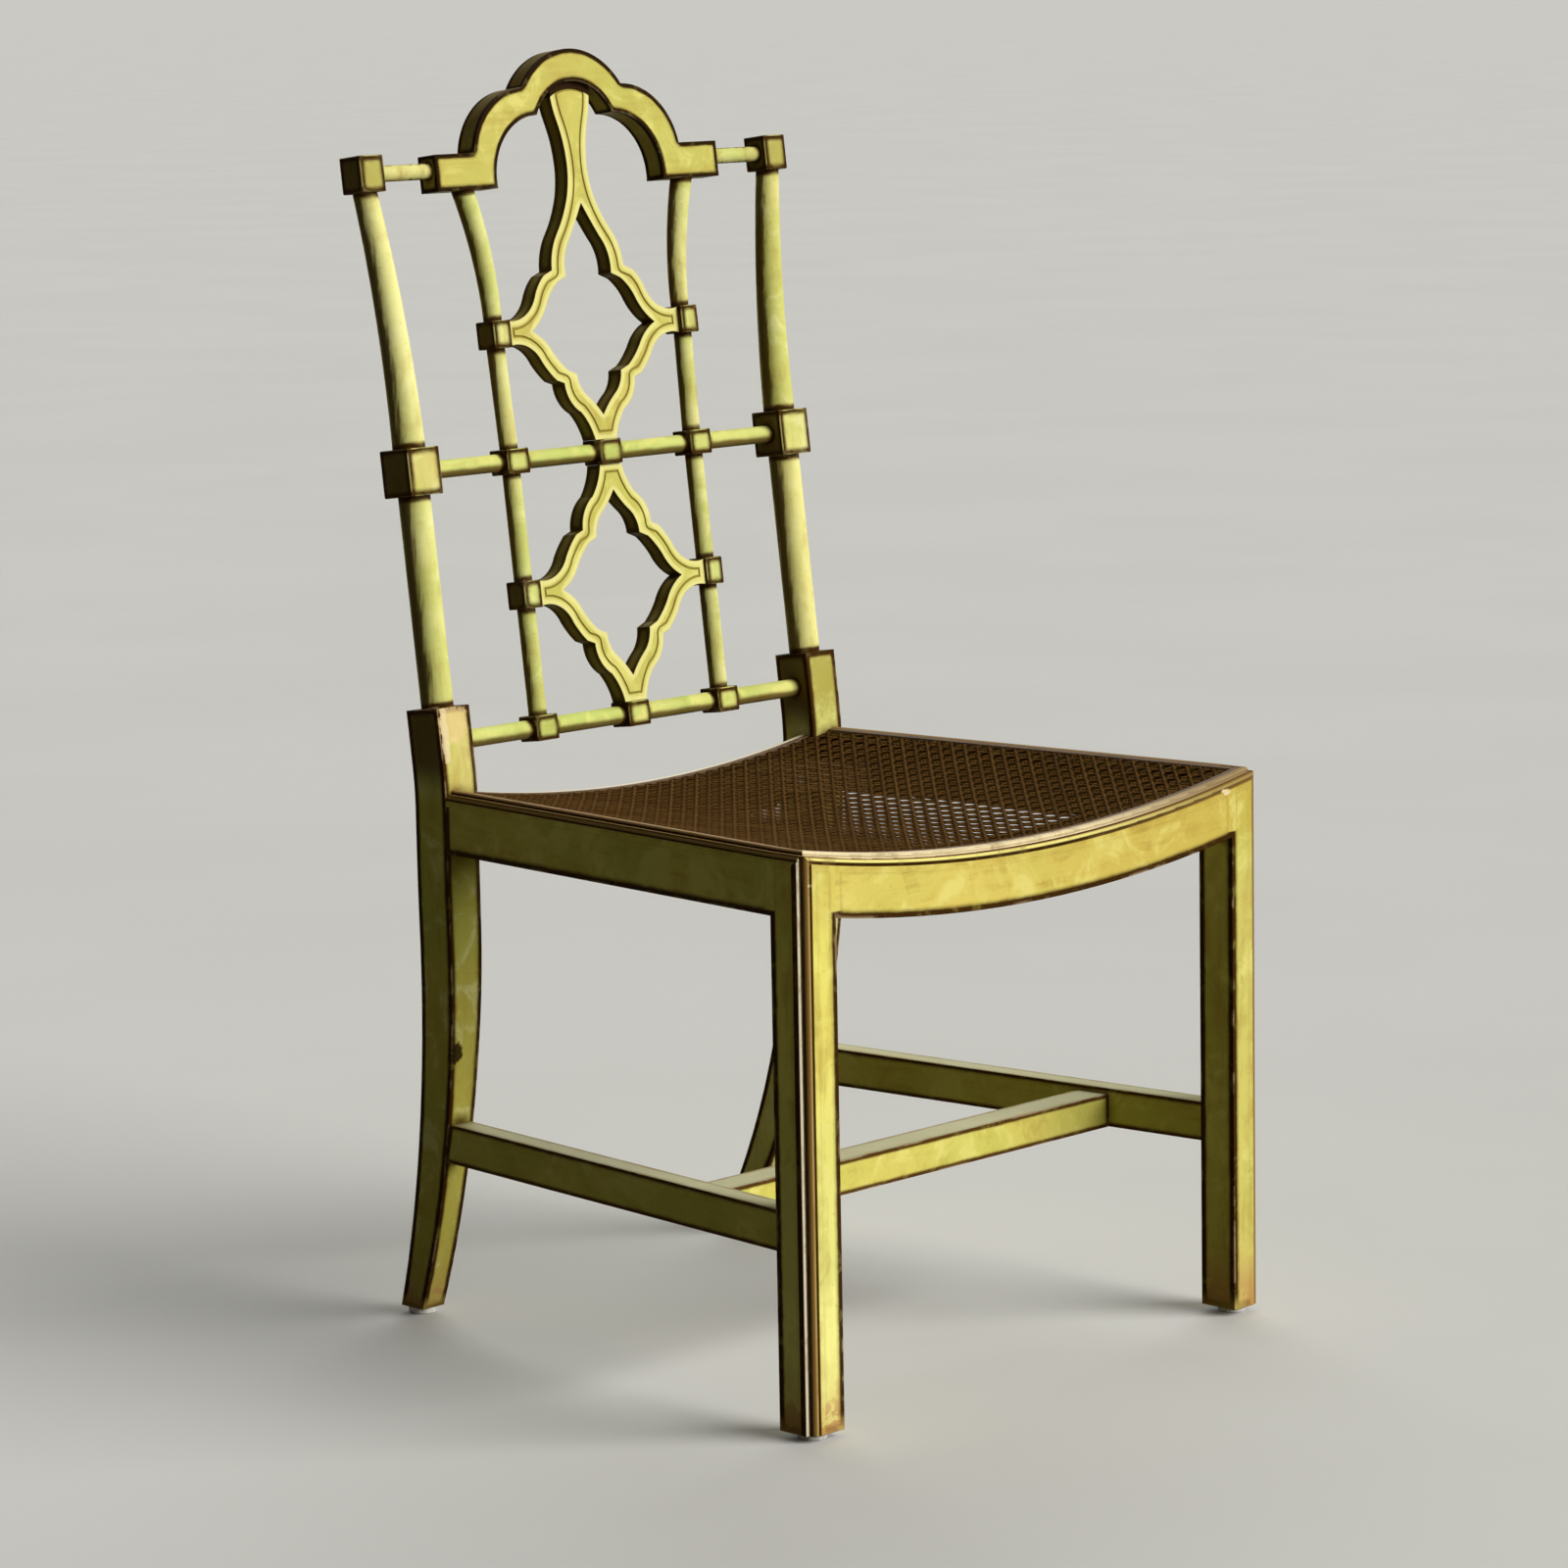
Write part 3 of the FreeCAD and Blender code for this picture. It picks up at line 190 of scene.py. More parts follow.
def makeArrisLine():
    # brush-painted line along every arris, a glaze that thins out beside it, the worn arris itself,
    # and a softened edge for the light
    tree, given, out = newGroup("arrisLine", [("Width", "f", 0.004), ("Ragged", "f", 0.35)],
                                [("Mask", "f"), ("Halo", "f"), ("Worn", "f"), ("Normal", "v")])
    where = place(tree)
    wobble = calc(tree, "SUBTRACT", noise(tree, where, 60, 3), 0.5)
    spread = calc(tree, "MULTIPLY_ADD", wobble, given["Ragged"], 1.0)
    radius = times(tree, given["Width"], spread)
    rounded = put(tree, "ShaderNodeBevel", {"samples": 16}, Radius=radius).outputs[0]
    turned = calc(tree, "SUBTRACT", 1.0, dot(tree, rounded, facing(tree)))
    give(tree, out["Mask"], ramp(tree, turned, *arris["line"]))
    smear = ramp(tree, noise(tree, where, 38, 4, 0.6), 0.38, 0.62)
    give(tree, out["Halo"], times(tree, ramp(tree, turned, *arris["halo"]), smear))
    rub = ramp(tree, noise(tree, where, 24, 5, 0.6), 0.5, 0.6)
    give(tree, out["Worn"], times(tree, ramp(tree, turned, *arris["worn"]), rub))
    soft = put(tree, "ShaderNodeBevel", {"samples": 4}, Radius=arris["softRadius"]).outputs[0]
    give(tree, out["Normal"], soft)
    return tree


def makeCornerGrime():
    # brown glaze round the joints, spread by ambient occlusion, so that it also paints shade into inner corners
    tree, given, out = newGroup("cornerGrimeAndShade", [("Reach", "f", 0.012), ("Strength", "f", 0.8)], [("Mask", "f")])
    shut = put(tree, "ShaderNodeAmbientOcclusion", {"samples": 8}, Distance=given["Reach"]).outputs["AO"]
    patch = ramp(tree, noise(tree, place(tree), 45, 4), 0.3, 0.65, 0.45, 1.0)
    depth = ramp(tree, calc(tree, "SUBTRACT", 1.0, shut), 0.05, 0.5)
    strong = calc(tree, "MULTIPLY", times(tree, depth, patch), given["Strength"], clamp=True)
    give(tree, out["Mask"], strong)
    return tree


paintMix = {
    "pale": 0.55,                # share of the paler patches
    "flecks": 0.4,
    "roughness": (0.34, 0.5),
    "dragHeight": 0.6,           # brush marks against flecks in the relief
}


def makeAgedPaint():
    # mottled yellow-green paint with a thin brown glaze dragged over it
    tree, given, out = newGroup(
        "agedPaint",
        [("Paint", "c", tone(222, 207, 108)), ("Green", "c", tone(190, 196, 92)),
         ("Glaze", "c", tone(176, 140, 62)), ("Pale", "c", tone(240, 234, 140)), ("Streak", "v", (40, 40, 5)),
         ("Green Share", "f", 0.35), ("Glaze Share", "f", 0.6)],
        [("Color", "c"), ("Roughness", "f"), ("Height", "f")])
    where = place(tree)
    broad = noise(tree, where, 8, 3, 0.55, 0.4)
    patch = noise(tree, where, 26, 6, 0.62, 0.7)
    fleck = noise(tree, where, 240, 4, 0.6)
    drag = noise(tree, vectorCalc(tree, "MULTIPLY", where, given["Streak"]), 4, 5, 0.65, 0.3)
    colour = cover(tree, given["Paint"], ramp(tree, broad, 0.42, 0.62), given["Green Share"], given["Green"])
    colour = cover(tree, colour, ramp(tree, patch, 0.5, 0.36), paintMix["pale"], given["Pale"])
    both = calc(tree, "MULTIPLY_ADD", drag, 0.5, times(tree, patch, 0.5))
    colour = cover(tree, colour, ramp(tree, both, 0.48, 0.66), given["Glaze Share"], given["Glaze"])
    colour = cover(tree, colour, ramp(tree, fleck, 0.6, 0.78), paintMix["flecks"], given["Glaze"])
    give(tree, out["Color"], colour)
    give(tree, out["Roughness"], ramp(tree, patch, 0.3, 0.7, *paintMix["roughness"]))
    flecks = times(tree, fleck, 1 - paintMix["dragHeight"])
    give(tree, out["Height"], calc(tree, "MULTIPLY_ADD", drag, paintMix["dragHeight"], flecks))
    return tree


def makeMirrorBox():
    # 1 inside a box that is given for the right half and mirrored to the left
    tree, given, out = newGroup("mirrorBox", [("Low", "v", (0, 0, 0)), ("High", "v", (1, 1, 1)),
                                              ("Soft", "v", (0.001, 0.001, 0.001))], [("Mask", "f")])
    spot = apart(tree, place(tree))
    axes = [calc(tree, "ABSOLUTE", spot[0]), spot[1], spot[2]]
    low, high, soft = apart(tree, given["Low"]), apart(tree, given["High"]), apart(tree, given["Soft"])
    mask = 1.0
    for axis in range(3):
        above = calc(tree, "DIVIDE", calc(tree, "SUBTRACT", axes[axis], low[axis]), soft[axis], clamp=True)
        below = calc(tree, "DIVIDE", calc(tree, "SUBTRACT", high[axis], axes[axis]), soft[axis], clamp=True)
        mask = times(tree, mask, above, below)
    give(tree, out["Mask"], mask)
    return tree


beadMargin = 0.0045    # beside the beads, kept free of other lines


def makeBeadBands():
    # where a spot lies on the double bead: Across is its distance in from the corner on the top or side,
    # Down its distance from the corner on the front
    tree, given, out = newGroup("beadBands", [("Across", "f", 0.0), ("Down", "f", 0.0), ("Size", "f", 0.0094),
                                              ("Rim", "f", 0.0)],
                                [("Zone", "f"), ("Along", "f"), ("Clear", "f")])
    span = calc(tree, "ADD", calc(tree, "SUBTRACT", given["Size"], given["Across"]), given["Down"])
    give(tree, out["Along"], calc(tree, "DIVIDE", span, times(tree, given["Size"], 2.0), clamp=True))
    inside = calc(tree, "LESS_THAN", given["Across"], calc(tree, "ADD", given["Size"], given["Rim"]))
    near = calc(tree, "LESS_THAN", given["Down"], given["Size"])
    give(tree, out["Zone"], times(tree, inside, near))
    margin = calc(tree, "LESS_THAN", given["Down"], calc(tree, "ADD", given["Size"], beadMargin))
    give(tree, out["Clear"], times(tree, inside, margin))
    return tree


def makeWornSpots():
    # chips and rubbed places
    tree, given, out = newGroup("wornSpots", [("Scale", "f", 60.0), ("Amount", "f", 0.3)], [("Mask", "f")])
    where = place(tree)
    spots = noise(tree, where, given["Scale"], 5, 0.6, 0.5)
    level = calc(tree, "SUBTRACT", 0.78, times(tree, given["Amount"], 0.4))
    give(tree, out["Mask"], ramp(tree, spots, level, calc(tree, "ADD", level, 0.05)))
    return tree


def makeSpotMark():
    # one ragged chip or rubbed place
    tree, given, out = newGroup("spotMark", [("Centre", "v", (0, 0, 0)), ("Size", "v", (0.01, 0.01, 0.01)),
                                             ("Soft", "f", 0.13)], [("Mask", "f")])
    where = place(tree)
    off = vectorCalc(tree, "DIVIDE", vectorCalc(tree, "SUBTRACT", where, given["Centre"]), given["Size"])
    far = calc(tree, "SQRT", dot(tree, off, off))
    ragged = times(tree, calc(tree, "SUBTRACT", noise(tree, where, 150, 4, 0.65), 0.5), 1.4)
    rim = 0.95
    outer, inner = calc(tree, "ADD", rim, given["Soft"]), calc(tree, "SUBTRACT", rim, given["Soft"])
    give(tree, out["Mask"], ramp(tree, calc(tree, "ADD", far, ragged), outer, inner))
    return tree


arrisLine = makeArrisLine()
cornerGrimeAndShade = makeCornerGrime()
agedPaint = makeAgedPaint()
mirrorBox = makeMirrorBox()
beadBands = makeBeadBands()
wornSpots = makeWornSpots()
spotMark = makeSpotMark()
print("shared effects made")


# painted wood

paintColours = {
    "paint": tone(220, 209, 106),
    "green": tone(190, 196, 92),
    "glaze": tone(178, 142, 62),
    "pale": tone(238, 230, 136),
    "line": tone(62, 38, 10),
    # brown of the glaze, also used as painted shade under the seat, under the rods, on the posts' sides and in
    # corners
    "grimeAndShade": tone(88, 58, 18),
    "cream": tone(238, 220, 176),
    "chalk": tone(252, 240, 208),
    "tan": tone(176, 146, 86),
    "umber": tone(134, 104, 56),
    "rose": tone(184, 150, 104),
    "undercoat": tone(224, 182, 122),
    "dust": tone(196, 194, 162),
    "rubbed": tone(214, 186, 138),
    "inside": tone(84, 58, 30),
    "chip": tone(46, 30, 12),
    "peach": tone(236, 206, 146),
    "scribed": tone(150, 136, 56),
    "drab": tone(172, 162, 72),
    "foot": tone(196, 152, 92),
}

seatFrame = {
    "legHalf": 0.264,        # outer faces of the front legs
    "legInner": 0.2297,
    "frontFace": -0.2675,
    "legBack": -0.2332,
    "backFace": 0.18439,
    "top": 0.450,
    "stileFront": 0.16239,
    "backHalf": 0.228,
    "frontDip": 0.025,
    "backDip": 0.0235,
    "bead": 0.0094,
    "rim": 0.0027,
}

chairBack = {
    "lean": math.radians(7.0),
    "blockFront": 0.1096,     # the stiles' blocks stand out in front of this depth, their round posts behind it
    "fretFront": 0.116563,    # depth of the lower fret's face
    "upperSetBack": 0.0018,   # the upper fret's face lies this much deeper
    "scribeDeep": 0.0008,
}
leanCos, leanSin = math.cos(chairBack["lean"]), math.sin(chairBack["lean"])
backLean = (0.0, leanCos, -leanSin)   # straight through the back from its front
backUp = (0.0, leanSin, leanCos)      # up along the back

# stripes from the top or side over the two beads to the front face
beadStripes = {
    "upright": [(0.0, "line"), (0.12, "line"), (0.15, "chalk"), (0.33, "chalk"), (0.37, "line"), (0.47, "line"),
                (0.53, "umber"), (0.74, "umber"), (0.79, "tan"), (0.86, "tan"), (0.9, "line"), (0.97, "line"),
                (1.0, "paint")],
    "front": [(0.0, "cream"), (0.36, "cream"), (0.41, "line"), (0.57, "line"), (0.62, "tan"), (0.69, "pale"),
              (0.77, "pale"), (0.81, "line"), (0.94, "line"), (1.0, "paint")],
    "side": [(0.0, "rose"), (0.3, "rose"), (0.34, "line"), (0.43, "line"), (0.47, "tan"), (0.54, "tan"),
             (0.59, "line"), (0.69, "line"), (0.74, "tan"), (0.82, "tan"), (0.87, "line"), (0.96, "line"),
             (1.0, "paint")],
    "back": [(0.0, "chalk"), (0.33, "chalk"), (0.36, "line"), (0.41, "line"), (0.45, "tan"), (0.83, "tan"),
             (0.865, "line"), (0.94, "line"), (1.0, "paint")],
}


def beadPlaces(tree, kind):
    # Across and Down for the corner that carries the beads of a leg or a rail
    s = seatFrame
    x, y, z = apart(tree, place(tree))
    x = calc(tree, "ABSOLUTE", x)
    fromFront = calc(tree, "SUBTRACT", y, s["frontFace"])
    if kind == "upright":
        return fromFront, calc(tree, "SUBTRACT", s["legHalf"], x)
    if kind == "side":
        slope = (s["legHalf"] - s["backHalf"]) / (s["stileFront"] - s["legBack"])
        past = calc(tree, "MAXIMUM", calc(tree, "SUBTRACT", y, s["legBack"]), 0.0)
        outer = calc(tree, "MULTIPLY_ADD", past, -slope, s["legHalf"])
        return calc(tree, "SUBTRACT", outer, x), calc(tree, "SUBTRACT", s["top"], z)
    dip, half = (s["frontDip"], s["legHalf"]) if kind == "front" else (s["backDip"], s["backHalf"])
    square = calc(tree, "POWER", calc(tree, "DIVIDE", x, half), 2.0)
    crown = calc(tree, "MULTIPLY_ADD", square, dip, s["top"] - dip)
    across = fromFront if kind == "front" else calc(tree, "SUBTRACT", s["backFace"], y)
    return across, calc(tree, "SUBTRACT", crown, z)


def beadColour(tree, kind, along):
    made = tree.nodes.new("ShaderNodeValToRGB")
    give(tree, made.inputs[0], along)
    bar = made.color_ramp
    for index, (at, colour) in enumerate(beadStripes[kind]):
        stop = bar.elements[index] if index < 2 else bar.elements.new(at)   # a new ramp has two stops
        stop.position = at
        stop.color = paintColours[colour]
    return made.outputs[0]


def beadWearShade(tree):
    # glaze rubbed unevenly over the beads, and browner toward the chair's right as painted shade
    where = place(tree)
    patch = ramp(tree, noise(tree, where, 48, 5, 0.6, 0.4), 0.48, 0.7, 0.0, 0.5)
    side = ramp(tree, apart(tree, where)[0], 0.0, 0.25, 0.0, 0.8)
    return calc(tree, "MAXIMUM", patch, side)


def paintBeads(tree, kinds, colour):
    # stripes of every bead that meets here, mitred where two beads cross
    bands = []
    for kind in kinds:
        across, down = beadPlaces(tree, kind)
        band = useGroup(tree, beadBands, Across=across, Down=down, Size=seatFrame["bead"], Rim=seatFrame["rim"])
        bands.append((kind, band, calc(tree, "MAXIMUM", across, down)))
    clear = 0.0
    for kind, band, reach in bands:
        zone = band["Zone"]
        for other, _, otherReach in bands:
            if other != kind:
                zone = times(tree, zone, calc(tree, "LESS_THAN", reach, otherReach))
        stripe = beadColour(tree, kind, band["Along"])
        if kind != "back":
            stripe = blend(tree, beadWearShade(tree), stripe, paintColours["umber"])
        colour = blend(tree, zone, colour, stripe)
        clear = calc(tree, "MAXIMUM", clear, band["Clear"])
    return clear, colour


# where a coat comes in: from the first value, none of it, to the second, all of it
coatRanges = {
    "straightAhead": (-0.985, -0.992),   # lean of a face, -1 when it looks straight to the front
    "ahead": (-0.7, -0.95),
    "thickness": (0.6, 0.35),            # lean without its sign
    "lyingTop": (0.75, 0.95),            # a face's upward share
    "crownTop": (0.25, 0.6),
    "under": (0.4, -0.12),
    "frontward": (-0.4, -0.7),           # a face's share along Y
    "inward": (0.3, 0.5),                # towards the chair's middle
    "leftToRight": (-0.2, 0.26),         # places from here on
    "railHeight": (0.375, 0.405),
    "footLine": (0.004, 0.02),
    "scribe": (0.0001, 0.0003),          # below the fret's face
}
shadeTop = 0.44    # the painted shade under the seat ends here

# shares of single coats, and how the chips and patches are drawn
coats = {
    "rubbed": 0.6,
    "rubScale": 34.0,
    "footScale": 38.0,
    "footAmount": 0.75,
    "underSeatShade": 0.6,
    "dullEdge": 0.6,        # softness of a duller patch
    "ragged": 0.4,
    "lineBreaks": 0.85,     # share of a line where the brush ran thin
    "footLines": 0.2,       # share of the lines left at the floor
    "dustLines": 0.3,       # share of the lines left on dusty tops
    "headEdge": 0.0008,
    "gloss": 0.012,
    "relief": 0.25,
    "reliefDeep": 0.0006,
}


def surfaceValues(tree):
    # what the coats of paint ask about a spot
    where, normal = place(tree), facing(tree)
    x, _, height = apart(tree, where)
    _, frontward, up = apart(tree, normal)
    return {"where": where, "normal": normal, "x": x, "height": height, "frontward": frontward, "up": up,
            "lean": dot(tree, normal, backLean), "depth": dot(tree, where, backLean)}


def basePaint(tree, look, at):
    c, r = paintColours, coatRanges
    paint = look.get("paint", c["paint"])
    # the blocks' fronts keep a darker tone than the round posts, whose paler paint is a painted highlight
    if look.get("flatPaint"):
        standsOut = calc(tree, "LESS_THAN", at["depth"], chairBack["blockFront"])
        paint = cover(tree, paint, ramp(tree, at["lean"], *r["straightAhead"]), standsOut, look["flatPaint"])
    # a different tone low down: paler toward the floor on the front legs, a painted highlight, and darker below
    # the seat on the stiles, painted shade
    if look.get("lowLightShade"):
        high, low, lowTone = look["lowLightShade"]
        paint = blend(tree, ramp(tree, at["height"], high, low), paint, lowTone)
    # darker toward the chair's right, painted shade
    if look.get("rightShadePaint"):
        paint = blend(tree, ramp(tree, at["x"], *r["leftToRight"]), paint, look["rightShadePaint"])
    if look.get("topPaint"):
        railTone = blend(tree, ramp(tree, at["x"], *r["leftToRight"]), *look["topPaint"])
        paint = blend(tree, ramp(tree, at["height"], *r["railHeight"]), paint, railTone)
    return useGroup(tree, agedPaint, Paint=paint, Green=look.get("greenTone", c["green"]), Glaze=c["glaze"],
                    Pale=look.get("pale", c["pale"]), Streak=look["streak"], Green_Share=look["green"],
                    Glaze_Share=look["glaze"])


def wearPaint(tree, look, at, colour):
    # dust on top, scuffed feet, rubbed places and duller patches
    c, r = paintColours, coatRanges
    if look.get("dust"):
        colour = cover(tree, colour, ramp(tree, at["up"], *r["lyingTop"]), look["dust"], c["dust"])
    if look.get("footWear"):
        scuffed = useGroup(tree, wornSpots, Scale=coats["footScale"], Amount=coats["footAmount"])["Mask"]
        low = ramp(tree, at["height"], look["footWear"], r["footLine"][0])
        colour = cover(tree, colour, calc(tree, "MULTIPLY_ADD", scuffed, 0.5, 0.5), low, c["foot"])
    rubbed = useGroup(tree, wornSpots, Scale=coats["rubScale"], Amount=look["rub"])["Mask"]
    colour = cover(tree, colour, rubbed, coats["rubbed"], c["undercoat"])
    for centre, size, share in look.get("drab", []):
        patch = useGroup(tree, spotMark, Centre=centre, Size=size, Soft=coats["dullEdge"])["Mask"]
        colour = cover(tree, colour, patch, share, c["drab"])
    return colour


def brownGlazeShade(tree, look, at, colour):
    # brown on the pieces' thickness, on tops and undersides, inside the seat frame and in the corners; on the
    # posts' sides, under the rods, under the seat and in the corners it is painted shade
    c, r = paintColours, coatRanges
    # brown on the thickness faces; on the round posts it darkens their sides as painted shade
    if look.get("thickBrownShade"):
        streaks = noise(tree, vectorCalc(tree, "MULTIPLY", at["where"], look["streak"]), 9, 4, 0.6)
        uneven = times(tree, calc(tree, "SUBTRACT", streaks, 0.5), look.get("thickUneven", 0.0))
        edgeOn = calc(tree, "ADD", calc(tree, "ABSOLUTE", at["lean"]), uneven)
        side = ramp(tree, edgeOn, *look.get("thickAt", r["thickness"]))
        if look.get("thickFrom"):
            side = times(tree, side, ramp(tree, at["height"], *look["thickFrom"]))
        colour = cover(tree, colour, side, look["thickBrownShade"], c["grimeAndShade"])
    if look.get("topBrown"):
        colour = cover(tree, colour, ramp(tree, at["up"], *r["crownTop"]), look["topBrown"], c["grimeAndShade"])
    # painted shade on front-facing faces just under the seat
    if look.get("underSeatShade"):
        below = calc(tree, "LESS_THAN", at["height"], shadeTop)
        shut = times(tree, ramp(tree, at["height"], *look["underSeatShade"]), below,
                     ramp(tree, at["frontward"], *r["frontward"]))
        colour = cover(tree, colour, shut, coats["underSeatShade"], c["grimeAndShade"])
    # painted shade on the undersides of the rods, made uneven
    if look.get("underShade"):
        uneven = calc(tree, "MULTIPLY_ADD", noise(tree, at["where"], 40, 4), 0.5, at["up"])
        colour = cover(tree, colour, ramp(tree, uneven, *r["under"]), look["underShade"], c["grimeAndShade"])
    if look.get("inside"):
        homeward = vectorCalc(tree, "MULTIPLY", at["where"], (-1.0, -1.0, 0.0))
        homeward = vectorCalc(tree, "NORMALIZE", homeward, (0, 0, 0))
        inward = ramp(tree, dot(tree, homeward, at["normal"]), *r["inward"])
        colour = cover(tree, colour, inward, look["inside"], c["inside"])
    # glaze and painted shade in the inner corners and round the joints
    grimeAndShade = useGroup(tree, cornerGrimeAndShade, Reach=look["grimeAndShadeReach"], Strength=look["grimeAndShade"])["Mask"]
    return blend(tree, grimeAndShade, colour, c["grimeAndShade"])


def arrisPaint(tree, look, at, colour):
    # brown lines along the arrises, the beads' stripes and the scribed lines; also gives the softened normal
    c, r = paintColours, coatRanges
    edges = useGroup(tree, arrisLine, Width=look["line"], Ragged=coats["ragged"])
    smooth = edges["Normal"]
    shown = 1.0    # where lines are let through
    for low, high in look.get("seams", []):
        flush = useGroup(tree, mirrorBox, Low=low, High=high, Soft=seams["soft"])["Mask"]
        shown = times(tree, shown, calc(tree, "SUBTRACT", 1.0, flush))
    if look.get("seams"):
        smooth = turn(tree, shown, at["normal"], smooth)
    colour = blend(tree, times(tree, edges["Halo"], shown, look.get("halo", 0.45)), colour, c["glaze"])
    if look.get("beads"):
        clear, colour = paintBeads(tree, look["beads"], colour)
        shown = times(tree, shown, calc(tree, "SUBTRACT", 1.0, clear))
    if look.get("footWear"):
        shown = times(tree, shown, ramp(tree, at["height"], *r["footLine"], coats["footLines"], 1.0))
    if look.get("dust"):
        shown = times(tree, shown, ramp(tree, at["up"], *r["lyingTop"], 1.0, coats["dustLines"]))
    if look.get("scribe"):
        below = calc(tree, "SUBTRACT", at["depth"], look["scribe"])
        shallow = calc(tree, "LESS_THAN", below, chairBack["scribeDeep"])
        cut = times(tree, ramp(tree, below, *r["scribe"]), shallow)
        colour = blend(tree, cut, colour, c["scribed"])
        shown = times(tree, shown, calc(tree, "SUBTRACT", 1.0, cut))
    lineTone, full = look.get("lineTone", c["line"]), look.get("lineShare", 1.0)
    if look.get("frontLine"):
        lineTone = blend(tree, ramp(tree, at["lean"], *r["ahead"]), lineTone, look["frontLine"])
    breaks = ramp(tree, noise(tree, at["where"], 75, 4), 0.3, 0.45, coats["lineBreaks"] * full, full)
    colour = blend(tree, times(tree, edges["Mask"], shown, breaks), colour, lineTone)
    worn = times(tree, edges["Worn"], shown, look.get("worn", 0.5))
    return blend(tree, worn, colour, c["rubbed"]), smooth


def singleMarks(tree, look, at, colour):
    # a dark band in an arc where the fan meets the crest, then chips and rubbed places
    c = paintColours
    if look.get("head"):
        middle, reach = look["head"]
        above = calc(tree, "SUBTRACT", dot(tree, at["where"], backUp), middle)
        away = calc(tree, "SQRT", calc(tree, "MULTIPLY_ADD", at["x"], at["x"], times(tree, above, above)))
        glazed = ramp(tree, away, reach, reach + coats["headEdge"])
        colour = cover(tree, colour, glazed, calc(tree, "GREATER_THAN", above, 0.0), c["chip"])
    for centre, size, mark, share in look.get("marks", []):
        spot = useGroup(tree, spotMark, Centre=centre, Size=size)["Mask"]
        colour = cover(tree, colour, spot, share, c[mark])
    return colour


def paintedWood(name, look):
    material, tree, shader = newMaterial(name)
    at = surfaceValues(tree)
    base = basePaint(tree, look, at)
    colour = wearPaint(tree, look, at, base["Color"])
    colour = brownGlazeShade(tree, look, at, colour)
    colour, smooth = arrisPaint(tree, look, at, colour)
    colour = singleMarks(tree, look, at, colour)
    give(tree, shader.inputs["Base Color"], colour)
    give(tree, shader.inputs["Roughness"], base["Roughness"])
    shader.inputs["Specular IOR Level"].default_value = coats["gloss"]
    roughen(tree, shader, Strength=coats["relief"], Distance=coats["reliefDeep"], Height=base["Height"],
            Normal=smooth)
    return material


# stretch of the brush marks, for each run of the wood
upright = (26, 26, 2.2)
crossways = (2.2, 26, 26)
lengthways = (26, 2.2, 26)

# flush joints between the legs and the seat rails, where no line is painted
seams = {
    "half": 0.008,
    "soft": (0.004, 0.004, 0.0012),
    "frontDepth": (-0.02, 0.007),        # from the front face
    "frontHeight": (0.3995, 0.4355),
    "sideAcross": (0.232, 0.28),
    "sideHeight": (0.4015, 0.4395),
}
seamBoxes = {
    "front": [(seatFrame["legInner"] + way * seams["half"], seatFrame["frontFace"] + depth, height)
              for way, depth, height in zip((-1, 1), seams["frontDepth"], seams["frontHeight"])],
    "side": [(across, seatFrame["legBack"] + way * seams["half"], height)
             for way, across, height in zip((-1, 1), seams["sideAcross"], seams["sideHeight"])],
}

railPaintShaded = (tone(226, 208, 106), tone(208, 186, 88))    # at the left and, darker as painted shade, at the right

fretPaint = {
    "paint": tone(207, 199, 104), "streak": upright, "green": 0.35, "glaze": 0.5, "line": 0.0105,
    "lineTone": tone(70, 50, 16), "frontLine": tone(238, 232, 152), "halo": 0.1, "lineShare": 0.8,
    "grimeAndShade": 0.7, "grimeAndShadeReach": 0.008, "rub": 0.1, "worn": 0.0, "thickBrownShade": 0.7,
}

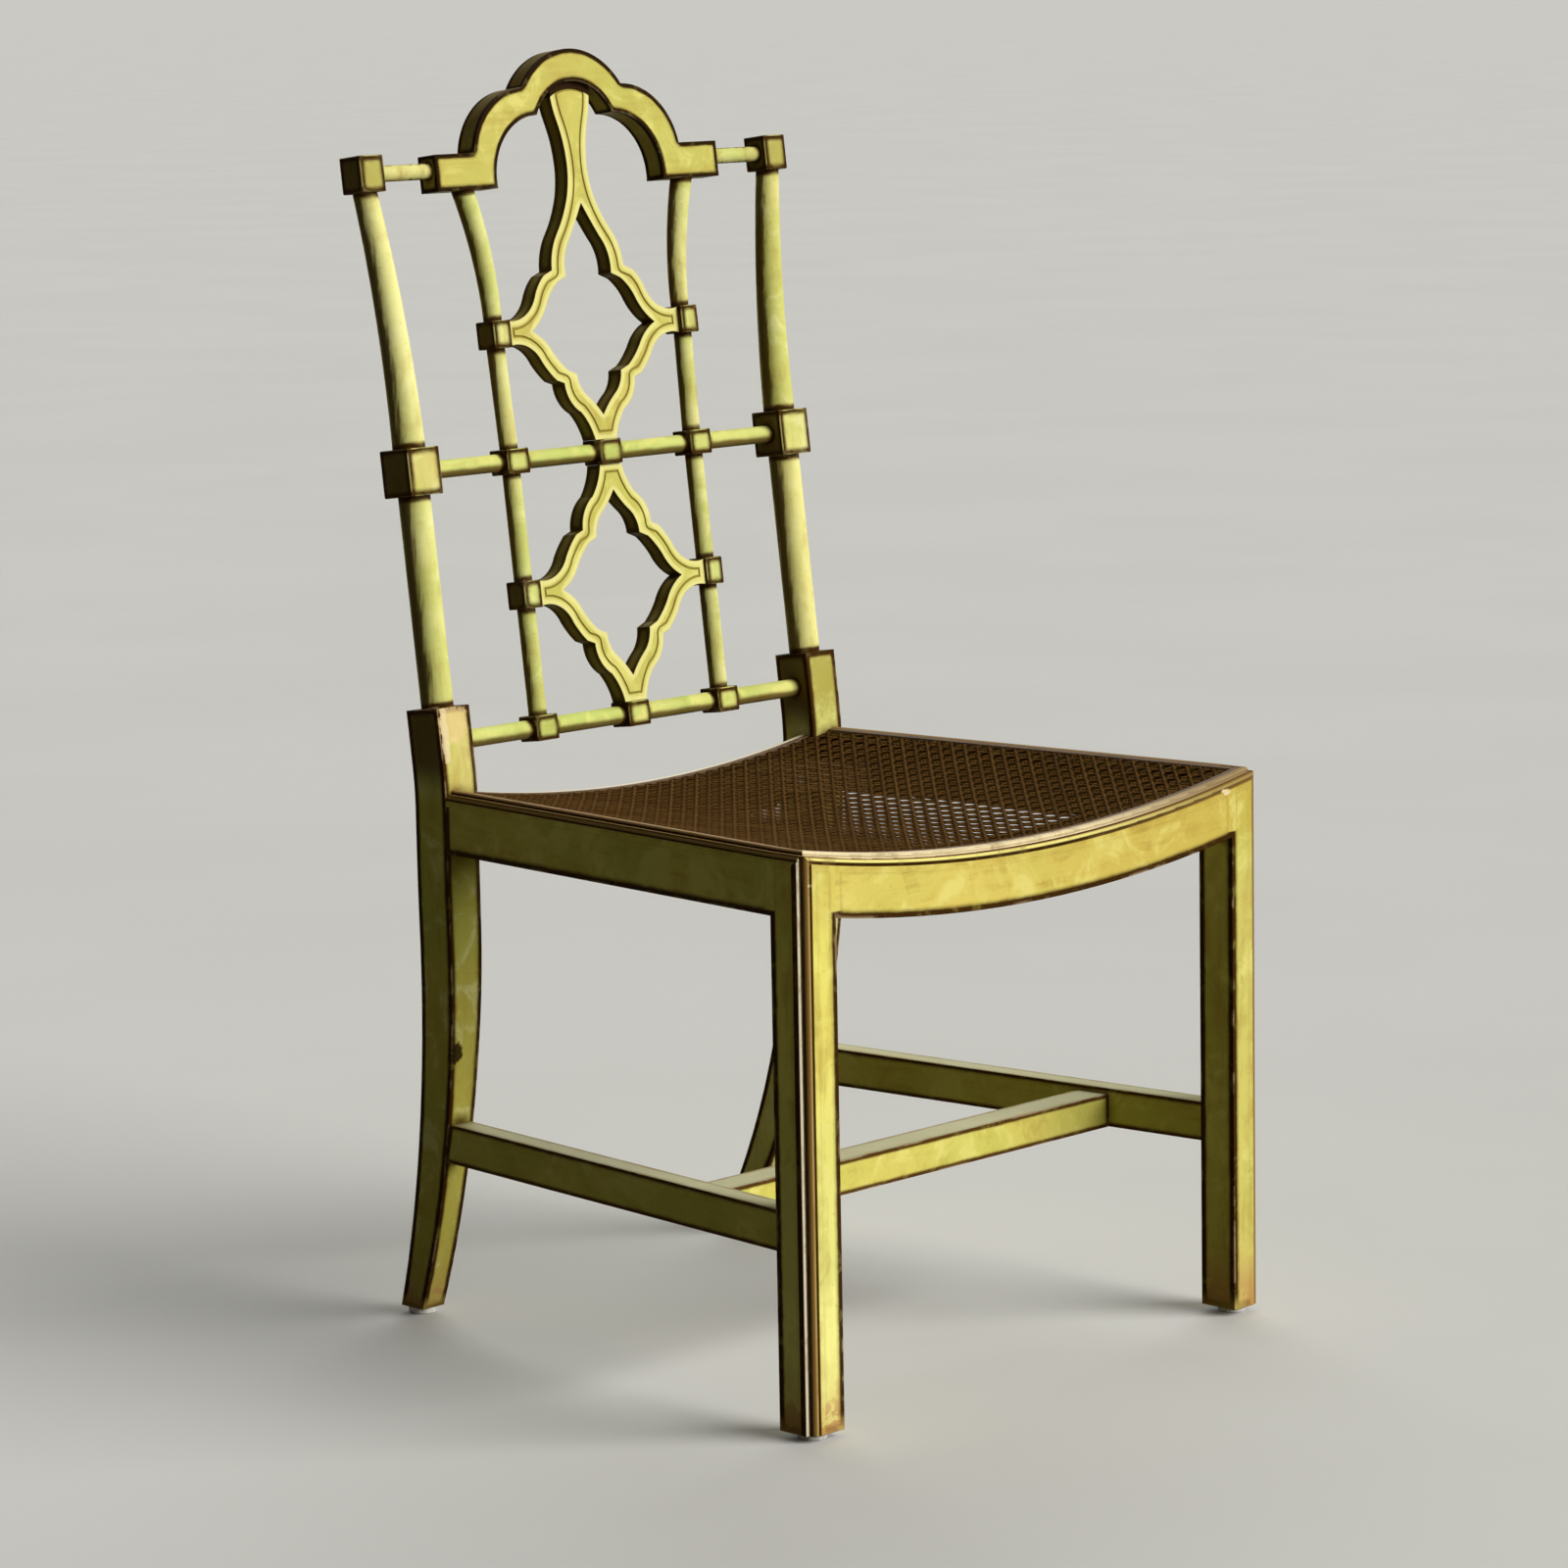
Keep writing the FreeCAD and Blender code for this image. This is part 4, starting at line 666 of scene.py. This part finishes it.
paintLooks = {
    "legPaint": {
        "nodes": ["front_leg_left", "front_leg_right"],
        "paint": tone(238, 229, 117), "rightShadePaint": tone(214, 205, 110), "topPaint": railPaintShaded,
        "lowLightShade": (0.32, 0.1, tone(250, 246, 150)), "streak": upright, "green": 0.3, "glaze": 0.5,
        "line": 0.0125, "worn": 0.6, "grimeAndShade": 0.75, "grimeAndShadeReach": 0.012, "rub": 0.15, "footWear": 0.07,
        "beads": ["upright", "front", "side"], "seams": list(seamBoxes.values()),
        "marks": [((-0.2552, -0.2656, 0.4228), (0.0026, 0.0026, 0.0012), "cream", 0.75)],
    },
    "frontRailPaint": {
        "nodes": ["front_seat_rail"],
        "paint": railPaintShaded[0], "rightShadePaint": railPaintShaded[1], "streak": crossways, "green": 0.2, "glaze": 0.65,
        "line": 0.0125, "halo": 0.3, "grimeAndShade": 0.6, "grimeAndShadeReach": 0.012, "rub": 0.2, "inside": 0.9,
        "beads": ["front"], "seams": [seamBoxes["front"]],
        "marks": [((0.2230, -0.2668, 0.4325), (0.0050, 0.0060, 0.0028), "cream", 0.9)],
    },
    "backRailPaint": {
        "nodes": ["back_seat_rail"],
        "streak": crossways, "green": 0.3, "glaze": 0.6, "line": 0.0105, "grimeAndShade": 0.6, "grimeAndShadeReach": 0.012,
        "rub": 0.15, "inside": 0.9, "beads": ["back"],
    },
    "sideRailPaint": {
        "nodes": ["seat_rail_left", "seat_rail_right"],
        "streak": lengthways, "green": 0.4, "glaze": 0.55, "line": 0.0118, "grimeAndShade": 0.6, "grimeAndShadeReach": 0.012,
        "rub": 0.15, "inside": 0.9, "beads": ["side"], "seams": [seamBoxes["side"]],
    },
    "stretcherPaint": {
        "nodes": ["side_stretcher_left", "side_stretcher_right", "cross_stretcher"],
        "streak": lengthways, "green": 0.4, "glaze": 0.35, "line": 0.0078, "lineTone": tone(84, 56, 20),
        "grimeAndShade": 0.6, "grimeAndShadeReach": 0.014, "rub": 0.12, "dust": 0.85,
    },
    "stilePaint": {
        "nodes": ["back_stile_left", "back_stile_right"],
        # the pale paint on the stiles' round posts is a painted highlight; flatPaint keeps the blocks' fronts
        # darker
        "paint": tone(240, 238, 158), "rightShadePaint": tone(236, 231, 148), "flatPaint": tone(222, 210, 130),
        "lowLightShade": (0.45, 0.435, tone(205, 196, 92)), "greenTone": tone(188, 196, 92),
        "pale": tone(244, 241, 174), "streak": upright, "green": 0.6, "glaze": 0.4, "line": 0.0105,
        "grimeAndShade": 0.9, "grimeAndShadeReach": 0.014, "rub": 0.12, "footWear": 0.07, "underSeatShade": (0.31, 0.40),
        "thickBrownShade": 0.85, "thickUneven": 1.3, "thickFrom": (0.44, 0.47), "thickAt": (0.6, 0.25),
        "marks": [((-0.2170, 0.1697, 0.2332), (0.0070, 0.0080, 0.0095), "chip", 0.95),
                  ((-0.2123, 0.1682, 0.5000), (0.0160, 0.0060, 0.0170), "peach", 0.6),
                  ((-0.2220, 0.1672, 0.4900), (0.0040, 0.0060, 0.0300), "cream", 0.6)],
        "drab": [((0.2120, 0.1682, 0.4900), (0.0240, 0.0080, 0.0450), 0.9),
                 ((-0.2271, 0.2274, 0.9349), (0.0200, 0.0080, 0.0200), 0.8),
                 ((0.2290, 0.2274, 0.9349), (0.0200, 0.0080, 0.0200), 0.8)],
    },
    "postPaint": {
        "nodes": ["lower_inner_post_left", "lower_inner_post_right", "upper_inner_post_left",
                  "upper_inner_post_right", "crest_rod_left", "crest_rod_right"],
        "paint": tone(228, 226, 146), "greenTone": tone(190, 204, 108), "pale": tone(240, 238, 164),
        "streak": upright, "green": 0.6, "glaze": 0.6, "line": 0.0098, "grimeAndShade": 0.9, "grimeAndShadeReach": 0.018,
        "rub": 0.1, "thickBrownShade": 0.88, "thickUneven": 1.3, "thickAt": (0.56, 0.25),
    },
    "rodPaint": {
        "nodes": ["lower_cross_rail", "middle_cross_rail"],
        "paint": tone(210, 216, 126), "greenTone": tone(188, 206, 108), "streak": crossways, "green": 0.7,
        "glaze": 0.45, "line": 0.0098, "grimeAndShade": 0.9, "grimeAndShadeReach": 0.018, "rub": 0.1, "underShade": 0.85,
    },
    "upperFretPaint": {
        **fretPaint, "nodes": ["upper_fret"], "head": (0.976, 0.041),
        "scribe": chairBack["fretFront"] + chairBack["upperSetBack"],
    },
    "lowerFretPaint": {**fretPaint, "nodes": ["lower_fret"], "scribe": chairBack["fretFront"]},
    "crestPaint": {
        "nodes": ["crest_rail"],
        "paint": tone(205, 196, 103), "streak": crossways, "green": 0.3, "glaze": 0.36, "line": 0.0092,
        "lineTone": tone(42, 26, 6), "halo": 0.7, "worn": 0.15, "grimeAndShade": 0.7, "grimeAndShadeReach": 0.012, "rub": 0.12,
        "thickBrownShade": 0.42, "topBrown": 0.65,
    },
}

for name, look in paintLooks.items():
    material = paintedWood(name, look)
    for node in look["nodes"]:
        nodes[node].data.materials[0] = material
print("painted wood:", len(paintLooks), "materials")


# seat: woven cane over the saddle

cane = {
    "pitch": 0.0144,         # from one pair of strands to the next
    "pairHalf": 0.0018,      # a strand's middle from the middle of its pair
    "width": 0.0023,
    "slantWidth": 0.0025,    # the slanting strands are a little broader
    "thick": 0.00125,
    "drop": 0.0013,          # weave's middle below the seat's top
    "columnLevels": (-0.00025, 0.0002),                    # heights at a crossing, from the weave's middle
    "rowLevels": ((0.0001, -0.0001), (-0.0004, 0.0004)),
    "slantLevels": (0.0005, 0.00036),
    "slantDip": -0.00005,
    "slantBend": 0.0045,     # from a crossing to the bend beside it
    "reach": 0.3,            # half length of a strand before it is cut to the panel
    "slantReach": 0.45,
    "frontY": -0.2510,       # the splines' inner edges
    "backY": 0.16789,
    "frontHalf": 0.24905,
    "backHalf": 0.21093,
    "notchY": 0.1618,        # room for the stiles
    "notchX": 0.1929,
    "seed": 7,
}


def seatTop(x, y):
    # height of the saddle's top, or nothing outside the splines
    c = cane
    if not c["frontY"] <= y <= c["backY"] or (y > c["notchY"] and abs(x) > c["notchX"]):
        return None
    back = (y - c["frontY"]) / (c["backY"] - c["frontY"])
    share = x / (c["frontHalf"] + (c["backHalf"] - c["frontHalf"]) * back)
    if abs(share) > 1:
        return None
    ends = []
    for half, dip, railHalf in ((c["frontHalf"], seatFrame["frontDip"], seatFrame["legHalf"]),
                                (c["backHalf"], seatFrame["backDip"], seatFrame["backHalf"])):
        radius = (railHalf ** 2 + dip ** 2) / (2 * dip)
        ends.append(seatFrame["top"] - dip + radius - math.sqrt(radius ** 2 - (share * half) ** 2))
    return ends[0] + (ends[1] - ends[0]) * back


def edgeSpot(inside, outside):
    # last spot on the panel between two plan points
    for _ in range(9):
        middle = (inside + outside) / 2
        if seatTop(*middle) is None:
            outside = middle
        else:
            inside = middle
    return inside


def strandLine(start, direction, steps, lifts):
    # runs of points on the panel, each with its height
    runs, run, last = [], [], None
    for step, lift in zip(steps, lifts):
        spot = start + direction * step
        onPanel = seatTop(*spot) is not None
        if onPanel and not run and last is not None:
            run.append((edgeSpot(spot, last), lift))
        if onPanel:
            run.append((spot, lift))
        elif run:
            run.append((edgeSpot(run[-1][0], spot), lift))
            runs.append(run)
            run = []
        last = spot
    if run:
        runs.append(run)
    return [r for r in runs if len(r) > 3]


def weaveSteps(length, period, marks):
    # steps along a strand with the weave's height at each, marks being (place in a period, height)
    steps, lifts = [], []
    count = int(length / period) + 1
    for lap in range(-count, count + 1):
        for at, lift in marks:
            steps.append(lap * period + at)
            lifts.append(lift)
    order = np.argsort(steps)
    return np.array(steps)[order], np.array(lifts)[order]


def caneStrands():
    p, g = cane["pitch"], cane["pairHalf"]
    middleY = (cane["frontY"] + cane["backY"]) / 2
    strands = []
    xDir, yDir = np.array([1.0, 0.0]), np.array([0.0, 1.0])
    across = int(cane["frontHalf"] / p) + 1
    along = int((cane["backY"] - middleY) / p) + 1
    # front-to-back pairs: the first lies lowest, the second over the first cross strand
    for column in range(-across, across + 1):
        for side, level in zip((-1, 1), cane["columnLevels"]):
            steps, lifts = weaveSteps(cane["reach"], p, [(0.0, level), (p / 2, level / 2)])
            strands.append((np.array([column * p + side * g, middleY]), yDir, steps, lifts, cane["width"]))
    # side-to-side pairs
    for row in range(-along, along + 1):
        for side, (under, over) in zip((-1, 1), cane["rowLevels"]):
            steps, lifts = weaveSteps(cane["reach"], p, [(-g, under), (g, over), (p / 2, 0.0)])
            strands.append((np.array([0.0, middleY + row * p + side * g]), xDir, steps, lifts, cane["width"]))
    # slanting strands midway between the crossings, which leave eight-sided holes
    reach = across + along + 2
    root, bend = math.sqrt(0.5), cane["slantBend"]
    for slant, crown in zip((1, -1), cane["slantLevels"]):
        side = 0.35 * crown
        marks = [(0.0, crown), (bend, side), (p * root, cane["slantDip"]), (p / root - bend, side)]
        direction = np.array([root, slant * root])
        for index in range(-reach, reach + 1):
            steps, lifts = weaveSteps(cane["slantReach"], p / root, marks)
            strands.append((np.array([(index + 0.5) * p, middleY]), direction, steps, lifts, cane["slantWidth"]))
    return strands


def makeCane():
    draw = np.random.default_rng(cane["seed"])
    corners, faces, tones, runsAlong, sides = [], [], [], [], []
    for start, direction, steps, lifts, width in caneStrands():
        for run in strandLine(start, direction, steps, lifts):
            points = np.array([[*spot, seatTop(*spot) - cane["drop"] + lift] for spot, lift in run])
            ahead = np.gradient(points, axis=0)
            ahead /= np.linalg.norm(ahead, axis=1)[:, None]
            beside = np.stack([-ahead[:, 1], ahead[:, 0], np.zeros(len(ahead))], axis=1)
            beside /= np.linalg.norm(beside, axis=1)[:, None]
            above = np.cross(ahead, beside)
            above *= np.sign(above[:, 2])[:, None]
            first = len(corners)
            strandTone = draw.random()
            far = np.concatenate([[0.0], np.cumsum(np.linalg.norm(np.diff(points, axis=0), axis=1))])
            half, crown = width / 2, cane["thick"] / 2
            for i, middle in enumerate(points):
                corners += [middle - beside[i] * half, middle + above[i] * crown,
                            middle + beside[i] * half, middle - above[i] * crown]
                tones += [strandTone] * 4
                runsAlong += [far[i]] * 4
                sides += [-1.0, 0.0, 1.0, 0.0]
            for i in range(len(points) - 1):
                a, b = first + 4 * i, first + 4 * (i + 1)
                faces += [(a + k, a + (k + 1) % 4, b + (k + 1) % 4, b + k) for k in range(4)]
            end = first + 4 * (len(points) - 1)
            faces += [(first + 3, first + 2, first + 1, first), (end, end + 1, end + 2, end + 3)]
    mesh = bpy.data.meshes.new("seat_cane")
    mesh.from_pydata([tuple(c) for c in corners], [], faces)
    for name, values in (("strandTone", tones), ("strandRun", runsAlong), ("strandSide", sides)):
        mesh.attributes.new(name, "FLOAT", "POINT").data.foreach_set("value", values)
    mesh.polygons.foreach_set("use_smooth", [True] * len(mesh.polygons))
    mesh.update()
    piece = bpy.data.objects.new("seat_cane", mesh)
    scene.collection.objects.link(piece)
    return piece


def caneFibre():
    material, tree, shader = newMaterial("caneFibre")
    one, run, side = [put(tree, "ShaderNodeAttribute", {"attribute_name": name}).outputs["Fac"]
                      for name in ("strandTone", "strandRun", "strandSide")]
    fibre = put(tree, "ShaderNodeCombineXYZ", X=times(tree, run, 40.0), Y=times(tree, side, 3.0),
                Z=times(tree, one, 90.0)).outputs[0]
    streak = noise(tree, fibre, 1.0, 4, 0.6)
    patch = noise(tree, place(tree), 14, 4, 0.6)
    colour = blend(tree, ramp(tree, one, 0.1, 0.9), tone(71, 48, 20), tone(92, 65, 30))
    colour = cover(tree, colour, ramp(tree, streak, 0.45, 0.7), 0.55, tone(44, 28, 12))
    colour = cover(tree, colour, ramp(tree, patch, 0.5, 0.7), 0.35, tone(98, 71, 36))
    give(tree, shader.inputs["Base Color"], colour)
    give(tree, shader.inputs["Roughness"], ramp(tree, streak, 0.3, 0.7, 0.5, 0.68))
    shader.inputs["Specular IOR Level"].default_value = 0.006
    roughen(tree, shader, Strength=0.3, Distance=0.0003, Height=streak)
    return material


caneMaterial = caneFibre()
seatCane = makeCane()
seatCane.data.materials.append(caneMaterial)
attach(seatCane, "root")
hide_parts("cane_panel")
print("cane woven:", len(seatCane.data.polygons), "faces")


# small parts

def splineReed():
    material, tree, shader = newMaterial("splineReed")
    where = place(tree)
    fibre = noise(tree, vectorCalc(tree, "MULTIPLY", where, (90, 90, 400)), 4, 5, 0.6, 0.2)
    patch = noise(tree, where, 30, 4)
    colour = blend(tree, ramp(tree, fibre, 0.35, 0.65), tone(70, 48, 24), tone(112, 84, 48))
    colour = cover(tree, colour, ramp(tree, patch, 0.5, 0.7), 0.5, tone(52, 34, 16))
    give(tree, shader.inputs["Base Color"], colour)
    give(tree, shader.inputs["Roughness"], ramp(tree, fibre, 0.3, 0.7, 0.45, 0.65))
    roughen(tree, shader, Strength=0.3, Distance=0.0005, Height=fibre)
    return material


def bareWood():
    material, tree, shader = newMaterial("bareWood")
    where = place(tree)
    grain = noise(tree, vectorCalc(tree, "MULTIPLY", where, (30, 30, 260)), 3, 6, 0.6, 0.8)
    pore = noise(tree, vectorCalc(tree, "MULTIPLY", where, (60, 60, 900)), 3, 3, 0.5)
    # grime and painted shade in the blocks' inner corners
    grimeAndShade = useGroup(tree, cornerGrimeAndShade, Reach=0.02, Strength=0.7)["Mask"]
    colour = blend(tree, ramp(tree, grain, 0.35, 0.68), tone(202, 168, 120), tone(160, 118, 72))
    colour = cover(tree, colour, ramp(tree, pore, 0.55, 0.7), 0.5, tone(116, 80, 46))
    colour = blend(tree, grimeAndShade, colour, tone(92, 64, 38))
    give(tree, shader.inputs["Base Color"], colour)
    give(tree, shader.inputs["Roughness"], ramp(tree, grain, 0.3, 0.7, 0.6, 0.78))
    roughen(tree, shader, Strength=0.35, Distance=0.0006, Height=grain)
    return material


def screwSteel():
    material, tree, shader = newMaterial("screwSteel")
    where = place(tree)
    scratch = noise(tree, vectorCalc(tree, "MULTIPLY", where, (900, 120, 900)), 2, 4, 0.6)
    rust = useGroup(tree, wornSpots, Scale=220.0, Amount=0.5)["Mask"]
    colour = blend(tree, ramp(tree, scratch, 0.4, 0.6), tone(150, 146, 138), tone(186, 183, 176))
    colour = cover(tree, colour, rust, 0.7, tone(110, 74, 46))
    give(tree, shader.inputs["Base Color"], colour)
    shader.inputs["Metallic"].default_value = 0.9
    give(tree, shader.inputs["Roughness"], ramp(tree, scratch, 0.3, 0.7, 0.3, 0.5))
    return material


def glideNylon():
    material, tree, shader = newMaterial("glideNylon")
    where = place(tree)
    scuff = noise(tree, where, 300, 4, 0.6, 0.5)
    dirt = useGroup(tree, wornSpots, Scale=160.0, Amount=0.6)["Mask"]
    colour = blend(tree, ramp(tree, scuff, 0.4, 0.62), tone(250, 249, 244), tone(232, 229, 220))
    colour = cover(tree, colour, dirt, 0.3, tone(140, 132, 116))
    give(tree, shader.inputs["Base Color"], colour)
    give(tree, shader.inputs["Roughness"], ramp(tree, scuff, 0.3, 0.7, 0.45, 0.65))
    roughen(tree, shader, Strength=0.2, Distance=0.0003, Height=scuff)
    return material


smallParts = {
    "spline": (splineReed, ["front_cane_spline", "back_cane_spline", "cane_spline_left", "cane_spline_right"]),
    "block": (bareWood, ["corner_block_front_left", "corner_block_front_right", "corner_block_back_left",
                         "corner_block_back_right"]),
    "screws": (screwSteel, ["corner_block_screws"]),
    "glides": (glideNylon, ["glide_front_left", "glide_front_right", "glide_back_left", "glide_back_right"]),
}
for maker, names in smallParts.values():
    material = maker()
    for node in names:
        nodes[node].data.materials[0] = material
print("small parts finished")


# floor, light and camera

studio = {
    "floorReach": 3000.0,
    "floor": tone(214, 214, 210),
    "floorCloud": tone(204, 204, 200),
    "floorRough": 0.9,
    "floorGloss": 0.1,
    "lampAway": 4.0,
    "floorBounce": tone(94, 90, 72),
    "backdrop": tone(222, 223, 221),
    "ambient": (1.0, 0.97, 0.82, 1.0),
    "ambientStrength": 0.044,
    "key": {"strength": 3.75, "spread": 46.0, "turn": 24.0, "rise": 29.0, "colour": (1.0, 0.98, 0.95),
            "glints": True},
    "back": {"strength": 2.4, "spread": 60.0, "turn": 130.0, "rise": 16.0, "colour": (0.98, 0.99, 1.0),
             "glints": False},
}


def seenRays(tree):
    # rays that show the background itself: straight from the camera, or off metal and glass
    path = put(tree, "ShaderNodeLightPath").outputs
    seen = calc(tree, "MAXIMUM", path["Is Camera Ray"], path["Is Glossy Ray"])
    return calc(tree, "MAXIMUM", seen, path["Is Transmission Ray"])


def makeFloor():
    reach = studio["floorReach"]
    mesh = bpy.data.meshes.new("studio_floor")
    corners = [(-reach, -reach, 0), (reach, -reach, 0), (reach, reach, 0), (-reach, reach, 0)]
    mesh.from_pydata(corners, [], [(0, 1, 2, 3)])
    floor = bpy.data.objects.new("studio_floor", mesh)
    scene.collection.objects.link(floor)
    material, tree, shader = newMaterial("studioFloor")
    cloud = noise(tree, place(tree), 1.4, 3)
    shown = blend(tree, ramp(tree, cloud, 0.35, 0.65, 0.0, 0.25), studio["floor"], studio["floorCloud"])
    give(tree, shader.inputs["Base Color"], blend(tree, seenRays(tree), studio["floorBounce"], shown))
    shader.inputs["Roughness"].default_value = studio["floorRough"]
    shader.inputs["Specular IOR Level"].default_value = studio["floorGloss"]
    mesh.materials.append(material)


def makeSun(name, lamp):
    light = bpy.data.lights.new(name, "SUN")
    light.energy = lamp["strength"]
    light.angle = math.radians(lamp["spread"])
    light.color = lamp["colour"]
    turn, rise = math.radians(lamp["turn"]), math.radians(lamp["rise"])
    towards = Vector((math.sin(turn) * math.cos(rise), -math.cos(turn) * math.cos(rise), math.sin(rise)))
    sun = bpy.data.objects.new(name, light)
    sun.rotation_mode = "QUATERNION"
    sun.rotation_quaternion = towards.to_track_quat("Z", "Y")
    sun.location = towards * studio["lampAway"]
    sun.visible_glossy = lamp["glints"]
    scene.collection.objects.link(sun)


def makeWorld():
    world = bpy.data.worlds.new("studioWorld")
    world.use_nodes = True
    tree = world.node_tree
    sky = tree.nodes["Background"]
    seen = seenRays(tree)
    give(tree, sky.inputs["Color"], blend(tree, seen, studio["ambient"], studio["backdrop"]))
    give(tree, sky.inputs["Strength"], ramp(tree, seen, 0.0, 1.0, studio["ambientStrength"], 1.0))
    scene.world = world


view = {
    "spot": (-2.967, -2.9005, 1.087),
    "yaw": 0.7952,
    "pitch": -0.1543,
    "roll": -0.01864,
    "focalPixels": 5328,
    "framePixels": 1600,
    "sensor": 36.0,
    "clip": 9000.0,
}


def makeCamera():
    yaw, pitch, roll = view["yaw"], view["pitch"], view["roll"]
    ahead = Vector((math.sin(yaw) * math.cos(pitch), math.cos(yaw) * math.cos(pitch), math.sin(pitch)))
    level = Vector((math.cos(yaw), -math.sin(yaw), 0.0))
    top = level.cross(ahead)
    right = math.cos(roll) * level + math.sin(roll) * top
    over = -math.sin(roll) * level + math.cos(roll) * top
    data = bpy.data.cameras.new("chair_view")
    data.sensor_width = view["sensor"]
    data.lens = view["focalPixels"] * view["sensor"] / view["framePixels"]
    data.clip_end = view["clip"]
    camera = bpy.data.objects.new("chair_view", data)
    camera.matrix_world = Matrix.Translation(view["spot"]) @ Matrix((right, over, -ahead)).transposed().to_4x4()
    scene.collection.objects.link(camera)
    scene.camera = camera


makeFloor()
makeSun("key_light", studio["key"])
makeSun("back_light", studio["back"])
makeWorld()
makeCamera()
print("studio ready")
